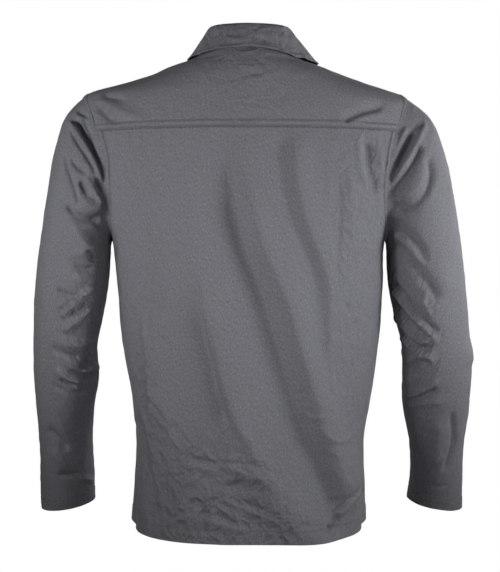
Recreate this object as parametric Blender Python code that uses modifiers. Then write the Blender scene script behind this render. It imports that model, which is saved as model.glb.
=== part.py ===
"""Work jacket in grey twill, hollow and filled out as when it is worn.

Metres, +Z up. The jacket's front faces -Y and the wearer's left is +X. The origin is the middle of
the neck opening, level with the seam at the back of the neck.

The body is one smooth form, given by level sections, and each body piece is a stretch of it between
seams. A place on the form is an angle round it and a height: 0 degrees is the side that is asked for,
90 degrees the back and -90 degrees the front.
"""

import math

import bmesh
import bpy
import numpy as np
from mathutils import Vector

CLOTH = 0.0015  # thickness of a single panel
COLLAR_CLOTH = 0.0020  # thickness of the collar's two plies
SEAM_GAP = 0.0003  # clear space between neighbouring pieces
HEM_Z = -0.722
LEFT, RIGHT = 1, -1  # the wearer's sides, along X

# Level sections of the body: half widths to the wearer's left and right, depths to the back and to
# the front, how square the section is, and how much wider it gets towards the front.
BODY_COLUMNS = ("z", "left", "right", "back", "front", "square", "spread")
BODY = (
    (0.012, 0.046, 0.048, 0.054, 0.044, 2.80, 0.00),
    (0.000, 0.057, 0.059, 0.062, 0.052, 2.70, 0.00),
    (-0.013, 0.067, 0.067, 0.0735, 0.0600, 2.40, 0.00),
    (-0.0225, 0.086, 0.082, 0.0800, 0.0645, 2.20, 0.00),
    (-0.0315, 0.114, 0.110, 0.0850, 0.0690, 2.05, 0.00),
    (-0.0415, 0.137, 0.136, 0.0890, 0.0735, 2.00, 0.00),
    (-0.0555, 0.181, 0.176, 0.0930, 0.080, 1.82, 0.00),
    (-0.0705, 0.2345, 0.222, 0.0962, 0.087, 1.70, 0.00),
    (-0.082, 0.2475, 0.243, 0.0985, 0.0925, 1.74, 0.00),
    (-0.100, 0.2500, 0.2485, 0.1018, 0.102, 1.88, 0.00),
    (-0.130, 0.2460, 0.2465, 0.1062, 0.117, 2.10, 0.00),
    (-0.170, 0.2330, 0.2360, 0.1112, 0.132, 2.36, 0.00),
    (-0.220, 0.2195, 0.2200, 0.1160, 0.141, 2.55, 0.00),
    (-0.260, 0.2080, 0.2110, 0.1185, 0.144, 2.60, 0.00),
    (-0.300, 0.1995, 0.2045, 0.1203, 0.144, 2.60, 0.00),
    (-0.356, 0.1940, 0.2030, 0.1220, 0.143, 2.60, 0.00),
    (-0.446, 0.1860, 0.1970, 0.1240, 0.141, 2.60, 0.04),
    (-0.536, 0.1710, 0.1840, 0.1265, 0.142, 2.55, 0.14),
    (-0.596, 0.1655, 0.1740, 0.1285, 0.144, 2.50, 0.19),
    (-0.656, 0.1645, 0.1730, 0.1315, 0.147, 2.45, 0.25),
    (-0.722, 0.1680, 0.1730, 0.1340, 0.150, 2.40, 0.30),
)

# The neck seam, seen from above.
NECK_LEFT, NECK_RIGHT, NECK_BACK, NECK_FRONT = 0.074, 0.080, 0.062, 0.084

# The armhole, seen from the side.
ARMHOLE_MID_Y, ARMHOLE_HALF_Y = -0.004, 0.064
ARMHOLE_TOP_Z, ARMPIT_Z = -0.0770, -0.287

# The yoke runs over the shoulders. Its back seam dips towards the armholes.
YOKE_BACK_Z, YOKE_BACK_DIP = -0.1215, 0.006
YOKE_FRONT_Y = -0.048

FRONT_OVERLAP = 0.018  # how far each front runs past the middle
UNDERLAP_DEPTH = 0.0034  # how far the right front lies under the left one
UNDERLAP_EDGE, UNDERLAP_EASE = 0.028, 0.050  # where it starts to come up, and over what width

# Sleeve sections, from the armhole to the cuff: the outer and inner points of each section on the
# two sides, its middle and half depth from front to back, and how far its back hangs lower.
SLEEVE_COLUMNS = (
    "outer_left", "outer_right", "outer_z", "inner_left", "inner_right", "inner_z",
    "mid_y", "half_y", "droop",
)
SLEEVE = (
    (0.2430, 0.2350, -0.0770, 0.2010, 0.2060, -0.287, -0.004, 0.0640, 0.000),
    (0.2690, 0.2705, -0.1045, 0.2040, 0.2090, -0.298, -0.004, 0.0710, 0.000),
    (0.2845, 0.2915, -0.146, 0.2050, 0.2100, -0.313, -0.004, 0.0765, 0.000),
    (0.2955, 0.3055, -0.200, 0.2065, 0.2110, -0.334, -0.004, 0.0800, 0.000),
    (0.3060, 0.3170, -0.268, 0.2105, 0.2145, -0.366, -0.003, 0.0810, 0.000),
    (0.3155, 0.3260, -0.338, 0.2175, 0.2230, -0.406, 0.000, 0.0790, 0.000),
    (0.3195, 0.3325, -0.405, 0.2260, 0.2335, -0.449, 0.000, 0.0740, 0.000),
    (0.3225, 0.3400, -0.478, 0.2245, 0.2360, -0.496, -0.008, 0.0690, 0.001),
    (0.3210, 0.3390, -0.545, 0.2330, 0.2380, -0.543, -0.025, 0.0635, 0.002),
    (0.3195, 0.3340, -0.610, 0.2380, 0.2500, -0.599, -0.047, 0.0580, 0.002),
    (0.3215, 0.3350, -0.662, 0.2380, 0.2540, -0.648, -0.064, 0.0530, 0.002),
    (0.3215, 0.3370, -0.710, 0.2380, 0.2520, -0.697, -0.080, 0.0490, 0.003),
)
SLEEVE_RINGS = (0, 0.4, 0.9, 1.5, 2.2, 3, 3.8, 4.6, 5.4, 6.1, 6.8, 7.5, 8.2, 9, 10, 11)
CAP_FADE = 0.8  # sections over which the armhole's own shape gives way to a plain one

# The largest folds of the back, as soft troughs (negative) and ridges between two places.
FOLD_COLUMNS = ("x", "z", "end_x", "end_z", "half_width", "depth")
BACK_FOLDS = (
    (0.032, -0.170, -0.112, -0.690, 0.022, -0.0065),
    (-0.004, -0.190, -0.140, -0.680, 0.020, 0.0055),
    (0.064, -0.340, -0.045, -0.690, 0.026, 0.0050),
    (-0.072, -0.150, -0.122, -0.480, 0.018, 0.0035),
    (0.148, -0.380, 0.138, -0.600, 0.020, 0.0035),
)
# The largest folds of the sleeves: the section and the turn round it in degrees (0 outer,
# 90 back, 180 inner), the half spans along and round, and the depth.
SLEEVE_FOLD_COLUMNS = ("section", "turn", "half_sections", "half_turn", "depth")
SLEEVE_FOLDS = {
    LEFT: ((1.8, 120, 0.8, 20, -0.004), (5.6, 140, 0.5, 40, -0.004), (6.9, 150, 0.5, 40, 0.003)),
    RIGHT: ((1.5, 95, 0.9, 16, -0.005), (4.2, 130, 1.2, 18, -0.004), (6.6, 150, 0.5, 40, 0.004)),
}

# How many steps the grids take: across the back, down the side seams, along the yoke's front seams,
# round the armhole (on the yoke, the back and the front) and up the neck seam of each front.
ACROSS_BACK, SIDE_ROWS, YOKE_ROWS, NECK_ROWS = 19, 13, 10, 7
YOKE_TURNS, BACK_TURNS, FRONT_TURNS = 8, 9, 10

# The collar, from the middle of the front to the middle of the back: how far its fold is from the
# middle on each side (a share of the neck seam's own distance), the fold's height, where the leaf's
# lower edge lies as seen from above, and how far it stands off the body.
COLLAR_COLUMNS = (
    "angle", "fold_left", "fold_right", "fold_z", "edge_left", "edge_right", "edge_y", "stand_off",
)
COLLAR = (
    (-90, 0.88, 0.88, -0.040, 0.038, 0.038, -0.1040, 0.0048),
    (-60, 0.85, 0.86, -0.024, 0.066, 0.068, -0.0860, 0.0048),
    (-30, 0.76, 0.79, 0.006, 0.087, 0.097, -0.0450, 0.0042),
    (0, 0.71, 0.75, 0.0205, 0.0845, 0.1045, 0.0020, 0.0040),
    (35, 0.78, 0.80, 0.0240, 0.0675, 0.0715, 0.0425, 0.0050),
    (65, 0.89, 0.90, 0.0252, 0.0335, 0.0365, 0.0668, 0.0070),
    (78, 0.925, 0.93, 0.0256, 0.0175, 0.0190, 0.0712, 0.0078),
    (90, 0.95, 0.95, 0.0258, 0.0000, 0.0000, 0.0722, 0.0082),
)
COLLAR_STEPS = 13  # from the middle of the front to the middle of the back
STAND_ROWS, STAND_ROUND, STAND_UNDERLAP, STAND_INSET = 4, 0.0006, 0.0032, 0.0018
LEAF_ROWS, LEAF_END = 5, -82
# Across the leaf: outwards and upwards from the stand's top over the roll, then down to its edge.
ROLL = ((-0.0012, 0.0031), (0.0026, 0.0028), (0.0060, -0.0004))

BUTTON_RADIUS, BUTTON_DEPTH, BUTTON_EDGE = 0.0090, 0.0030, 0.0006
BUTTON_TOP_Z, BUTTON_PITCH, BUTTONS, BUTTON_SIDES = -0.098, 0.108, 6, 16

CLOTH_COLOUR = (0.128, 0.131, 0.144, 1)
BUTTON_COLOUR = (0.060, 0.062, 0.068, 1)


def table(rows, columns, name):
    """One column of a table."""
    return np.array([row[columns.index(name)] for row in rows])


def smooth(knots, values, at):
    """A cubic through rising knots, with each slope taken from the rows on both sides."""
    slopes = np.gradient(values, knots)
    row = np.clip(np.searchsorted(knots, at) - 1, 0, len(knots) - 2)
    span = knots[row + 1] - knots[row]
    t = (at - knots[row]) / span
    return (
        values[row] * (1 + 2 * t) * (1 - t) ** 2
        + slopes[row] * span * t * (1 - t) ** 2
        + values[row + 1] * t * t * (3 - 2 * t)
        + slopes[row + 1] * span * t * t * (t - 1)
    )


def body(name, z):
    """One measure of the body's section at each height."""
    knots = table(BODY, BODY_COLUMNS, "z")[::-1]
    return smooth(knots, table(BODY, BODY_COLUMNS, name)[::-1], z)


def half_width(side, x_sign, z):
    """The half width on the side that is asked for, or on the other one where x_sign is negative."""
    own, other = ("left", "right") if side == LEFT else ("right", "left")
    return np.where(x_sign >= 0, body(own, z), body(other, z))


def half_depth(y_sign, z):
    return np.where(y_sign >= 0, body("back", z), body("front", z))


def on_form(side, angle, z):
    """Points of the bare form, whose sections are squared ovals that spread towards the front."""
    across, along, power = np.cos(angle), np.sin(angle), 2 / body("square", z)
    x = half_width(side, across, z) * np.sign(across) * np.abs(across) ** power
    y = np.sign(along) * np.abs(along) ** power
    x = x * (1 + body("spread", z) * np.maximum(0, -y))
    return np.stack([side * x, half_depth(along, z) * y, z + 0 * x], axis=-1)


def form_angle(side, x, y, z):
    """The angle of a point that lies on the form, above where it spreads."""
    power = body("square", z) / 2
    across = np.sign(side * x) * np.abs(x / half_width(side, side * x, z)) ** power
    along = np.sign(y) * np.abs(y / half_depth(y, z)) ** power
    return np.arctan2(along, across)


def form_height(side, x, y):
    """The height of the form's top above a place seen from above, by halving."""
    low, high = np.full(np.shape(x), ARMHOLE_TOP_Z - 0.04), np.full(np.shape(x), BODY[0][0])
    for _ in range(40):
        z = (low + high) / 2
        power = body("square", z)
        reach = np.abs(x / half_width(side, side * x, z)) ** power + np.abs(y / half_depth(y, z)) ** power
        low, high = np.where(reach < 1, z, low), np.where(reach < 1, high, z)
    return (low + high) / 2


def form_normal(side, angle, z, step=0.02, rise=0.004):
    """The form's direction outwards."""
    round_it = on_form(side, angle + step, z) - on_form(side, angle - step, z)
    up_it = on_form(side, angle, np.minimum(z + rise, BODY[0][0])) - on_form(side, angle, z - rise)
    normal = np.cross(round_it, up_it) * side
    return normal / np.linalg.norm(normal, axis=-1, keepdims=True)


def fold_relief(x, z):
    """How far the folds lift the back: a soft line between two places, fading at its ends."""
    relief = np.zeros(np.shape(x))
    for row in BACK_FOLDS:
        start_x, start_z, end_x, end_z, half, depth = row
        length = math.hypot(end_x - start_x, end_z - start_z)
        along = ((x - start_x) * (end_x - start_x) + (z - start_z) * (end_z - start_z)) / length**2
        aside = ((x - start_x) * (end_z - start_z) - (z - start_z) * (end_x - start_x)) / length
        fade = np.clip(along * 4, 0, 1) * np.clip((1 - along) * 6, 0, 1)
        relief += depth * np.exp(-((aside / half) ** 2)) * fade
    return relief


def neck_places(side, plan_angle):
    """Places along the neck seam, whose outline from above is an oval."""
    own, other = (NECK_LEFT, NECK_RIGHT) if side == LEFT else (NECK_RIGHT, NECK_LEFT)
    across = np.cos(plan_angle)
    x = side * np.where(across >= 0, own, other) * across
    y = np.where(plan_angle >= 0, NECK_BACK, NECK_FRONT) * np.sin(plan_angle)
    z = form_height(side, x, y)
    return np.stack([form_angle(side, x, y, z), z], axis=-1)


def armhole_places(side, turn):
    """Places along the armhole: turn 0 is its top, 90 degrees its back and 180 the armpit."""
    y = ARMHOLE_MID_Y + ARMHOLE_HALF_Y * np.sin(turn)
    z = (ARMHOLE_TOP_Z + ARMPIT_Z) / 2 + (ARMHOLE_TOP_Z - ARMPIT_Z) / 2 * np.cos(turn)
    along = np.sign(y) * np.abs(y / half_depth(y, z)) ** (body("square", z) / 2)
    return np.stack([np.arcsin(along), z], axis=-1)


def armhole_turn(z, y_sign):
    """The turn at which the armhole passes a height, at its back or its front."""
    middle, half = (ARMHOLE_TOP_Z + ARMPIT_Z) / 2, (ARMHOLE_TOP_Z - ARMPIT_Z) / 2
    return y_sign * math.acos((z - middle) / half)


def armhole_front_turn():
    """The turn at which the armhole meets the yoke's front seam."""
    return -math.asin((ARMHOLE_MID_Y - YOKE_FRONT_Y) / ARMHOLE_HALF_Y)


def armhole_runs():
    """The turns of the armhole's three runs, on the yoke, the back and the front."""
    corner, front = armhole_turn(YOKE_BACK_Z - YOKE_BACK_DIP, 1), armhole_front_turn()
    return (
        np.linspace(front, corner, YOKE_TURNS),
        np.linspace(math.pi, corner, BACK_TURNS),
        np.linspace(-math.pi, front, FRONT_TURNS),
    )


def sleeve_turns():
    """The turns of a sleeve's columns, which start at the yoke's front seam."""
    yoke, back, front = armhole_runs()
    return np.concatenate([yoke[:-1], back[:0:-1], front[:-1] + math.tau])


def other_side(places):
    """Places found from the other side, as seen from this one."""
    return np.stack([math.pi - places[..., 0], places[..., 1]], axis=-1)


def joined(*runs):
    """Runs of places end to end, without repeating the places they share."""
    return np.concatenate([runs[0]] + [run[1:] for run in runs[1:]])


def fill(bottom, top, start, end):
    """A grid of places between four edges, blended from all of them."""
    u = np.linspace(0, 1, len(bottom))[None, :, None]
    v = np.linspace(0, 1, len(start))[:, None, None]
    edges = (1 - v) * bottom[None] + v * top[None] + (1 - u) * start[:, None] + u * end[:, None]
    corners = (1 - v) * ((1 - u) * bottom[0] + u * bottom[-1]) + v * ((1 - u) * top[0] + u * top[-1])
    return edges - corners


def edge_inset(points, normals, width):
    """Draws the four edges of a grid in, square to each edge and within its surface."""
    moved = points.copy()
    for axis, end in ((0, 0), (0, -1), (1, 0), (1, -1)):
        line = np.take(points, end, axis=axis)
        within = np.take(points, 1 if end == 0 else -2, axis=axis) - line
        square = np.cross(np.take(normals, end, axis=axis), np.gradient(line, axis=0))
        square /= np.linalg.norm(square, axis=-1, keepdims=True)
        square *= np.sign(np.sum(square * within, axis=-1, keepdims=True))
        place = (end, slice(None)) if axis == 0 else (slice(None), end)
        moved[place] += square * width
    return moved


def grid_normals(points, ring):
    """The directions outwards of a grid of rows, each closed in a ring or open."""
    if ring:
        wrapped = np.concatenate([points[:, -1:], points, points[:, :1]], axis=1)
        across = np.gradient(wrapped, axis=1)[:, 1:-1]
    else:
        across = np.gradient(points, axis=1)
    normal = np.cross(np.gradient(points, axis=0), across)
    return normal / np.linalg.norm(normal, axis=-1, keepdims=True)


def add_material(name, colour, roughness):
    material = bpy.data.materials.new(name)
    material.use_nodes = True
    shader = material.node_tree.nodes["Principled BSDF"]
    shader.inputs["Base Color"].default_value = colour
    shader.inputs["Roughness"].default_value = roughness
    shader.inputs["Metallic"].default_value = 0
    return material


def add_mesh(name, points, faces, material, collection):
    """A closed mesh as an object, with its faces turned outwards."""
    mesh = bpy.data.meshes.new(name)
    mesh.from_pydata([tuple(point) for point in points], [], faces)
    shape = bmesh.new()
    shape.from_mesh(mesh)
    bmesh.ops.recalc_face_normals(shape, faces=shape.faces)
    shape.to_mesh(mesh)
    shape.free()
    mesh.shade_smooth()
    mesh.set_sharp_from_angle(angle=math.radians(40))
    mesh.materials.append(material)
    thing = bpy.data.objects.new(name, mesh)
    collection.objects.link(thing)
    return thing


def add_wall(name, points, normals, thickness, material, collection, ring=False):
    """A cloth wall: a loft between unlike rows, with an outer face, an inner face and its rims.

    The inner face is laid along directions that neighbouring pieces share at a seam, so that the
    gap between them stays even through the thickness.
    """
    rows, columns = points.shape[:2]
    outer = points.reshape(-1, 3)
    inner = (points - thickness * normals).reshape(-1, 3)
    count = rows * columns
    spans = columns if ring else columns - 1
    faces = []
    for row in range(rows - 1):
        for column in range(spans):
            after = (column + 1) % columns
            corners = (row * columns + column, row * columns + after)
            quad = (*corners, corners[1] + columns, corners[0] + columns)
            faces.append(quad)
            faces.append(tuple(count + corner for corner in reversed(quad)))
    rims = [[row * columns + column for column in range(columns)] for row in (0, rows - 1)]
    if ring:
        loops = [rim + rim[:1] for rim in rims]
    else:
        ends = [[row * columns + column for row in range(rows)] for column in (0, columns - 1)]
        loops = rims + ends
    for loop in loops:
        for first, second in zip(loop, loop[1:]):
            faces.append((first, second, count + second, count + first))
    return add_mesh(name, np.concatenate([outer, inner]), faces, material, collection)


def armhole_lean(side):
    """The direction out of the armhole, square to the line from its top to the armpit."""
    top, pit = (on_form(side, *armhole_places(side, np.array(turn))) for turn in (0.0, math.pi))
    line = top - pit
    out = np.array([line[2], 0, -line[0]]) * side
    return out / np.linalg.norm(out)


def sleeve_grid(side):
    """The outer face of a sleeve: ovals between outer and inner points, the first on the armhole."""
    name = "left" if side == LEFT else "right"
    knots = np.arange(len(SLEEVE), dtype=float)
    at = np.array(SLEEVE_RINGS, dtype=float)
    turn = sleeve_turns()

    def measure(column, where):
        return smooth(knots, table(SLEEVE, SLEEVE_COLUMNS, column), where)[:, None]

    def oval(where):
        outer = np.stack([side * measure(f"outer_{name}", where), 0 * where[:, None],
                          measure("outer_z", where)], axis=-1)
        inner = np.stack([side * measure(f"inner_{name}", where), 0 * where[:, None],
                          measure("inner_z", where)], axis=-1)
        across = (outer + inner) / 2 + (outer - inner) / 2 * np.cos(turn)[None, :, None]
        along = np.sin(turn)[None, :]
        across[..., 1] += measure("mid_y", where) + measure("half_y", where) * along
        across[..., 2] -= measure("droop", where) * along
        return across

    armhole = on_form(side, *np.moveaxis(armhole_places(side, turn), -1, 0))
    armhole = armhole + armhole_lean(side) * SEAM_GAP
    points = oval(at)
    points += (armhole - points[0]) * np.exp(-at / CAP_FADE)[:, None, None]
    normals = grid_normals(points, ring=True) * side
    for section, middle, half_sections, half_turn, depth in SLEEVE_FOLDS[side]:
        around = (np.degrees(turn) - middle) / half_turn
        lift = np.exp(-(((at - section) / half_sections) ** 2))[:, None] * np.exp(-(around**2))
        lift[0] = 0
        points += depth * lift[..., None] * normals
    return points, grid_normals(points, ring=True) * side


def armhole_directions(side):
    """The directions that the body and the sleeve share at the armhole, for each sleeve column."""
    places = armhole_places(side, sleeve_turns())
    _, sleeve_normals = sleeve_grid(side)
    shared = form_normal(side, places[..., 0], places[..., 1]) + sleeve_normals[0]
    return shared / np.linalg.norm(shared, axis=-1, keepdims=True)


def armhole_run_directions(side):
    """The same directions for the armhole's runs on the yoke, the back and the front."""
    shared = armhole_directions(side)
    shared = np.concatenate([shared, shared[:1]])
    back_end = YOKE_TURNS + BACK_TURNS - 1
    return shared[:YOKE_TURNS], shared[YOKE_TURNS - 1 : back_end][::-1], shared[back_end - 1 :]


def add_sleeve(side, name, material, collection):
    points, normals = sleeve_grid(side)
    normals[0] = armhole_directions(side)
    add_wall(name, points, normals, CLOTH, material, collection, ring=True)


def body_points(side, places, relief=None):
    """Points and directions for a grid of places, lifted by any relief."""
    points = on_form(side, places[..., 0], places[..., 1])
    normals = form_normal(side, places[..., 0], places[..., 1])
    if relief is not None:
        points = points + normals * relief(points)[..., None]
    return points, normals


def side_and_armhole(side, turns):
    """The edge up the side seam and on round the armhole."""
    pit = armhole_places(side, np.array(math.pi))
    up = np.linspace(HEM_Z, ARMPIT_Z, SIDE_ROWS)
    return joined(np.stack([np.full(SIDE_ROWS, pit[0]), up], axis=-1), armhole_places(side, turns))


def add_back_panel(material, collection):
    _, turns, _ = armhole_runs()
    left, right = side_and_armhole(LEFT, turns), other_side(side_and_armhole(RIGHT, turns))
    across = np.linspace(0, 1, ACROSS_BACK)
    bottom = left[0] + (right[0] - left[0]) * across[:, None]
    top = left[-1] + (right[-1] - left[-1]) * across[:, None]
    top[:, 1] += YOKE_BACK_DIP * (1 - (2 * across - 1) ** 2)
    places = fill(bottom, top, left, right)
    points, normals = body_points(LEFT, places, lambda p: fold_relief(p[..., 0], p[..., 2]))
    normals[SIDE_ROWS - 1 :, 0] = armhole_run_directions(LEFT)[1]
    normals[SIDE_ROWS - 1 :, -1] = armhole_run_directions(RIGHT)[1]
    points = edge_inset(points, normals, SEAM_GAP / 2)
    add_wall("back_panel", points, normals, CLOTH, material, collection)


def yoke_front_seam(side):
    """The yoke's front seam, straight as seen from above, from the armhole to the neck."""
    turn = np.array([armhole_front_turn()])
    start = on_form(side, *armhole_places(side, turn)[0])
    plan = -math.asin(-YOKE_FRONT_Y / NECK_FRONT)
    end = on_form(side, *neck_places(side, np.array(plan)))
    share = np.linspace(0, 1, YOKE_ROWS)
    x = start[0] + (end[0] - start[0]) * share
    y = start[1] + (end[1] - start[1]) * share
    z = form_height(side, x, y)
    return np.stack([form_angle(side, x, y, z), z], axis=-1)


def add_yoke(material, collection):
    """The yoke: from the neck out to the armholes and the back seam, ending at its front seams."""
    turns, _, _ = armhole_runs()
    left, right = armhole_places(LEFT, turns), other_side(armhole_places(RIGHT, turns[::-1]))
    across = np.linspace(0, 1, ACROSS_BACK)
    back = left[-1] + (right[0] - left[-1]) * across[:, None]
    back[:, 1] += YOKE_BACK_DIP * (1 - (2 * across - 1) ** 2)
    outer = joined(left, back, right)
    start, end = yoke_front_seam(LEFT), other_side(yoke_front_seam(RIGHT))
    share = (outer[:, 0] - outer[0, 0]) / (outer[-1, 0] - outer[0, 0])
    plan_start = -math.asin(-YOKE_FRONT_Y / NECK_FRONT)
    plan = plan_start + (math.pi - 2 * plan_start) * share
    plan_folded = np.where(plan > math.pi / 2, math.pi - plan, plan)
    neck_left, neck_right = neck_places(LEFT, plan_folded), other_side(neck_places(RIGHT, plan_folded))
    inner = np.where((plan > math.pi / 2)[:, None], neck_right, neck_left)
    places = fill(outer, inner, start, end)
    points, normals = body_points(LEFT, places)
    normals[0, :YOKE_TURNS] = armhole_run_directions(LEFT)[0]
    normals[0, -YOKE_TURNS:] = armhole_run_directions(RIGHT)[0][::-1]
    points = edge_inset(points, normals, SEAM_GAP / 2)
    add_wall("back_yoke", points, normals, CLOTH, material, collection)


def underlap(points):
    """How far the right front is pressed in where the left one lies over it."""
    reach = np.clip((UNDERLAP_EDGE + UNDERLAP_EASE + points[..., 0]) / UNDERLAP_EASE, 0, 1)
    return -UNDERLAP_DEPTH * reach * reach * (3 - 2 * reach)


def front_places(side):
    """The places of a front, from its side seam to its edge past the middle."""
    _, _, turns = armhole_runs()
    outer, top = side_and_armhole(side, turns), yoke_front_seam(side)
    past_middle = math.pi / 2 + FRONT_OVERLAP / NECK_RIGHT
    plan = np.linspace(-past_middle, -math.asin(-YOKE_FRONT_Y / NECK_FRONT), NECK_ROWS)
    neck = neck_places(side, plan)
    neck[:, 0] = np.where(neck[:, 0] > 0, neck[:, 0] - math.tau, neck[:, 0])
    up = np.linspace(HEM_Z, neck[0, 1], len(outer) - NECK_ROWS + 1)
    beyond = FRONT_OVERLAP / half_width(side, np.array(-1.0), up)
    edge = np.stack([-math.pi / 2 - np.arcsin(beyond ** (body("square", up) / 2)), up], axis=-1)
    edge[-1] = neck[0]
    inner = joined(edge, neck)
    bottom = outer[0] + (inner[0] - outer[0]) * np.linspace(0, 1, YOKE_ROWS)[:, None]
    return fill(bottom, top, outer, inner)


def front_grid(side):
    relief = underlap if side == RIGHT else None
    points, normals = body_points(side, front_places(side), relief)
    normals[SIDE_ROWS - 1 :, 0] = armhole_run_directions(side)[2]
    return edge_inset(points, normals, SEAM_GAP / 2), normals


def add_front(side, name, material, collection):
    add_wall(name, *front_grid(side), CLOTH, material, collection)


def collar_measure(name, angle):
    return smooth(table(COLLAR, COLLAR_COLUMNS, "angle").astype(float),
                  table(COLLAR, COLLAR_COLUMNS, name), angle)


def collar_lines(side, angle):
    """The neck seam and the fold on one side, at angles in degrees."""
    places = neck_places(side, np.radians(angle))
    seam = on_form(side, places[:, 0], places[:, 1])
    share = collar_measure("fold_left" if side == LEFT else "fold_right", np.maximum(angle, -90))
    fold = seam * share[:, None]
    fold[:, 2] = collar_measure("fold_z", np.maximum(angle, -90))
    return seam, fold


def radial(line):
    """The level directions away from the middle of the neck."""
    level = line * [1, 1, 0]
    return level / np.linalg.norm(level, axis=-1, keepdims=True)


def add_collar_stand(material, collection):
    """The stand, from the neck seam up to just under the leaf; its left end lies over its right."""
    past_middle = -90 - math.degrees(FRONT_OVERLAP / NECK_RIGHT)
    angle = np.concatenate([[past_middle], np.linspace(-90, 90, COLLAR_STEPS)])
    left, right = collar_lines(LEFT, angle), collar_lines(RIGHT, angle)
    under = np.clip((math.radians(-60) - np.radians(angle)) / math.radians(25), 0, 1)[:, None]
    right = [line - radial(line) * under * STAND_UNDERLAP for line in right]
    seam, fold = (np.concatenate([one, other[::-1][1:]]) for one, other in zip(left, right))
    seam = seam - radial(seam) * SEAM_GAP + [0, 0, 3 * SEAM_GAP]
    fold = fold - radial(fold) * STAND_INSET
    share = np.linspace(0, 1, STAND_ROWS)[:, None, None]
    points = seam * (1 - share) + fold * share
    points += radial(seam) * (STAND_ROUND * np.sin(math.pi * share))
    normals = -grid_normals(points, ring=False)
    add_wall("collar_stand", points, normals, COLLAR_CLOTH, material, collection)


def leaf_side(side, angle):
    """One side of the leaf: over the roll, then down to its edge, never inside the body's form."""
    seam, fold = collar_lines(side, angle)
    rolled = [fold + radial(fold) * out + [0, 0, up] for out, up in ROLL]
    edge_x = side * collar_measure("edge_left" if side == LEFT else "edge_right", angle)
    edge_plan = np.stack([edge_x, collar_measure("edge_y", angle)], axis=-1)
    stand_off = collar_measure("stand_off", angle)[:, None]

    def lying(share):
        x, y = (seam[:, :2] * (1 - share) + edge_plan * share).T
        z = form_height(side, x, y)
        normal = form_normal(side, form_angle(side, x, y, z), z)
        return np.stack([x, y, z], axis=-1) + normal * stand_off, normal

    edge, _ = lying(1)
    rows = []
    for share in np.linspace(0, 1, LEAF_ROWS)[1:]:
        lowest, normal = lying(share)
        straight = rolled[-1] + (edge - rolled[-1]) * share
        inside = np.sum((lowest - straight) * normal, axis=-1, keepdims=True)
        rows.append(straight + normal * np.maximum(0, inside))
    return np.stack(rolled + rows)


def add_collar_leaf(material, collection):
    """The leaf, rolled over the stand and down to its edge."""
    angle = np.linspace(LEAF_END, 90, COLLAR_STEPS)
    left, right = leaf_side(LEFT, angle), leaf_side(RIGHT, angle)
    points = np.concatenate([left, right[:, ::-1][:, 1:]], axis=1)
    normals = grid_normals(points, ring=False)
    add_wall("collar_leaf", points, normals, COLLAR_CLOTH, material, collection)


def add_buttons(material, collection):
    """Flat round buttons down the middle of the left front, each laid on the front's own facets."""
    points, _ = front_grid(LEFT)
    before, edge = points[:, -2], points[:, -1]
    middle = before + (edge - before) * (before[:, :1] / (before[:, :1] - edge[:, :1]))
    across = edge - before
    for number in range(BUTTONS):
        z = BUTTON_TOP_Z - number * BUTTON_PITCH
        above, below = z + BUTTON_RADIUS, z - BUTTON_RADIUS
        y, y_above, y_below = np.interp((z, above, below), middle[:, 2], middle[:, 1])
        row = np.searchsorted(middle[:, 2], z)
        normal = np.cross((0, y_above - y_below, above - below), across[row])
        normal /= np.linalg.norm(normal)
        centre = np.array((0, y, z)) + normal * (BUTTON_DEPTH / 2 + SEAM_GAP)
        bpy.ops.mesh.primitive_cylinder_add(
            vertices=BUTTON_SIDES, radius=BUTTON_RADIUS, depth=BUTTON_DEPTH, location=centre,
            rotation=Vector(normal).to_track_quat("Z", "X").to_euler(),
        )
        button = bpy.context.object
        button.name = button.data.name = f"button_{number + 1}"
        rounding = button.modifiers.new("Bevel", "BEVEL")
        rounding.width = BUTTON_EDGE
        rounding.segments = 1
        button.data.materials.append(material)
        for owner in list(button.users_collection):
            owner.objects.unlink(button)
        collection.objects.link(button)


def main():
    for thing in list(bpy.data.objects):
        bpy.data.objects.remove(thing)
    collection = bpy.data.collections.new("work_jacket")
    bpy.context.scene.collection.children.link(collection)
    twill = add_material("grey_twill", CLOTH_COLOUR, 0.85)
    plastic = add_material("grey_plastic", BUTTON_COLOUR, 0.45)
    add_back_panel(twill, collection)
    add_yoke(twill, collection)
    add_front(LEFT, "front_left", twill, collection)
    add_front(RIGHT, "front_right", twill, collection)
    add_sleeve(LEFT, "sleeve_left", twill, collection)
    add_sleeve(RIGHT, "sleeve_right", twill, collection)
    add_collar_stand(twill, collection)
    add_collar_leaf(twill, collection)
    add_buttons(plastic, collection)


main()
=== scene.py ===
import math
import bmesh
import bpy
import numpy as np
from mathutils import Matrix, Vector


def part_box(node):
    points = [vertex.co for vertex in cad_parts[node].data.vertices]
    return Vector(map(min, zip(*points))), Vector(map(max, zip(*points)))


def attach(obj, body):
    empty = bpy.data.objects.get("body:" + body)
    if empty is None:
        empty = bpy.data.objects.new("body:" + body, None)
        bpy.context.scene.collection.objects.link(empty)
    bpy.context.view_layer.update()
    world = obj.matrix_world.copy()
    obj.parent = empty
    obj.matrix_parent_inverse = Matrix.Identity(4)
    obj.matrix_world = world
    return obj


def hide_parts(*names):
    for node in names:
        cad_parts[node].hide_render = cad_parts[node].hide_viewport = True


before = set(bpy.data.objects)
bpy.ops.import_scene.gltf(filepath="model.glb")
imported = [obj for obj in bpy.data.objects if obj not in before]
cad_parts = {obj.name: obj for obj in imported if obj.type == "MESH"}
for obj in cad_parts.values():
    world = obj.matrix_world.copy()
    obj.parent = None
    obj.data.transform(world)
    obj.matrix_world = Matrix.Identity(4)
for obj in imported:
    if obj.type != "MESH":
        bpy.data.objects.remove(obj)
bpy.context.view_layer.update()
left, right = 1, -1  # the wearer's sides, along X
sideNames = {left: ("left", "right"), right: ("right", "left")}  # a side's name, then the other's

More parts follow.
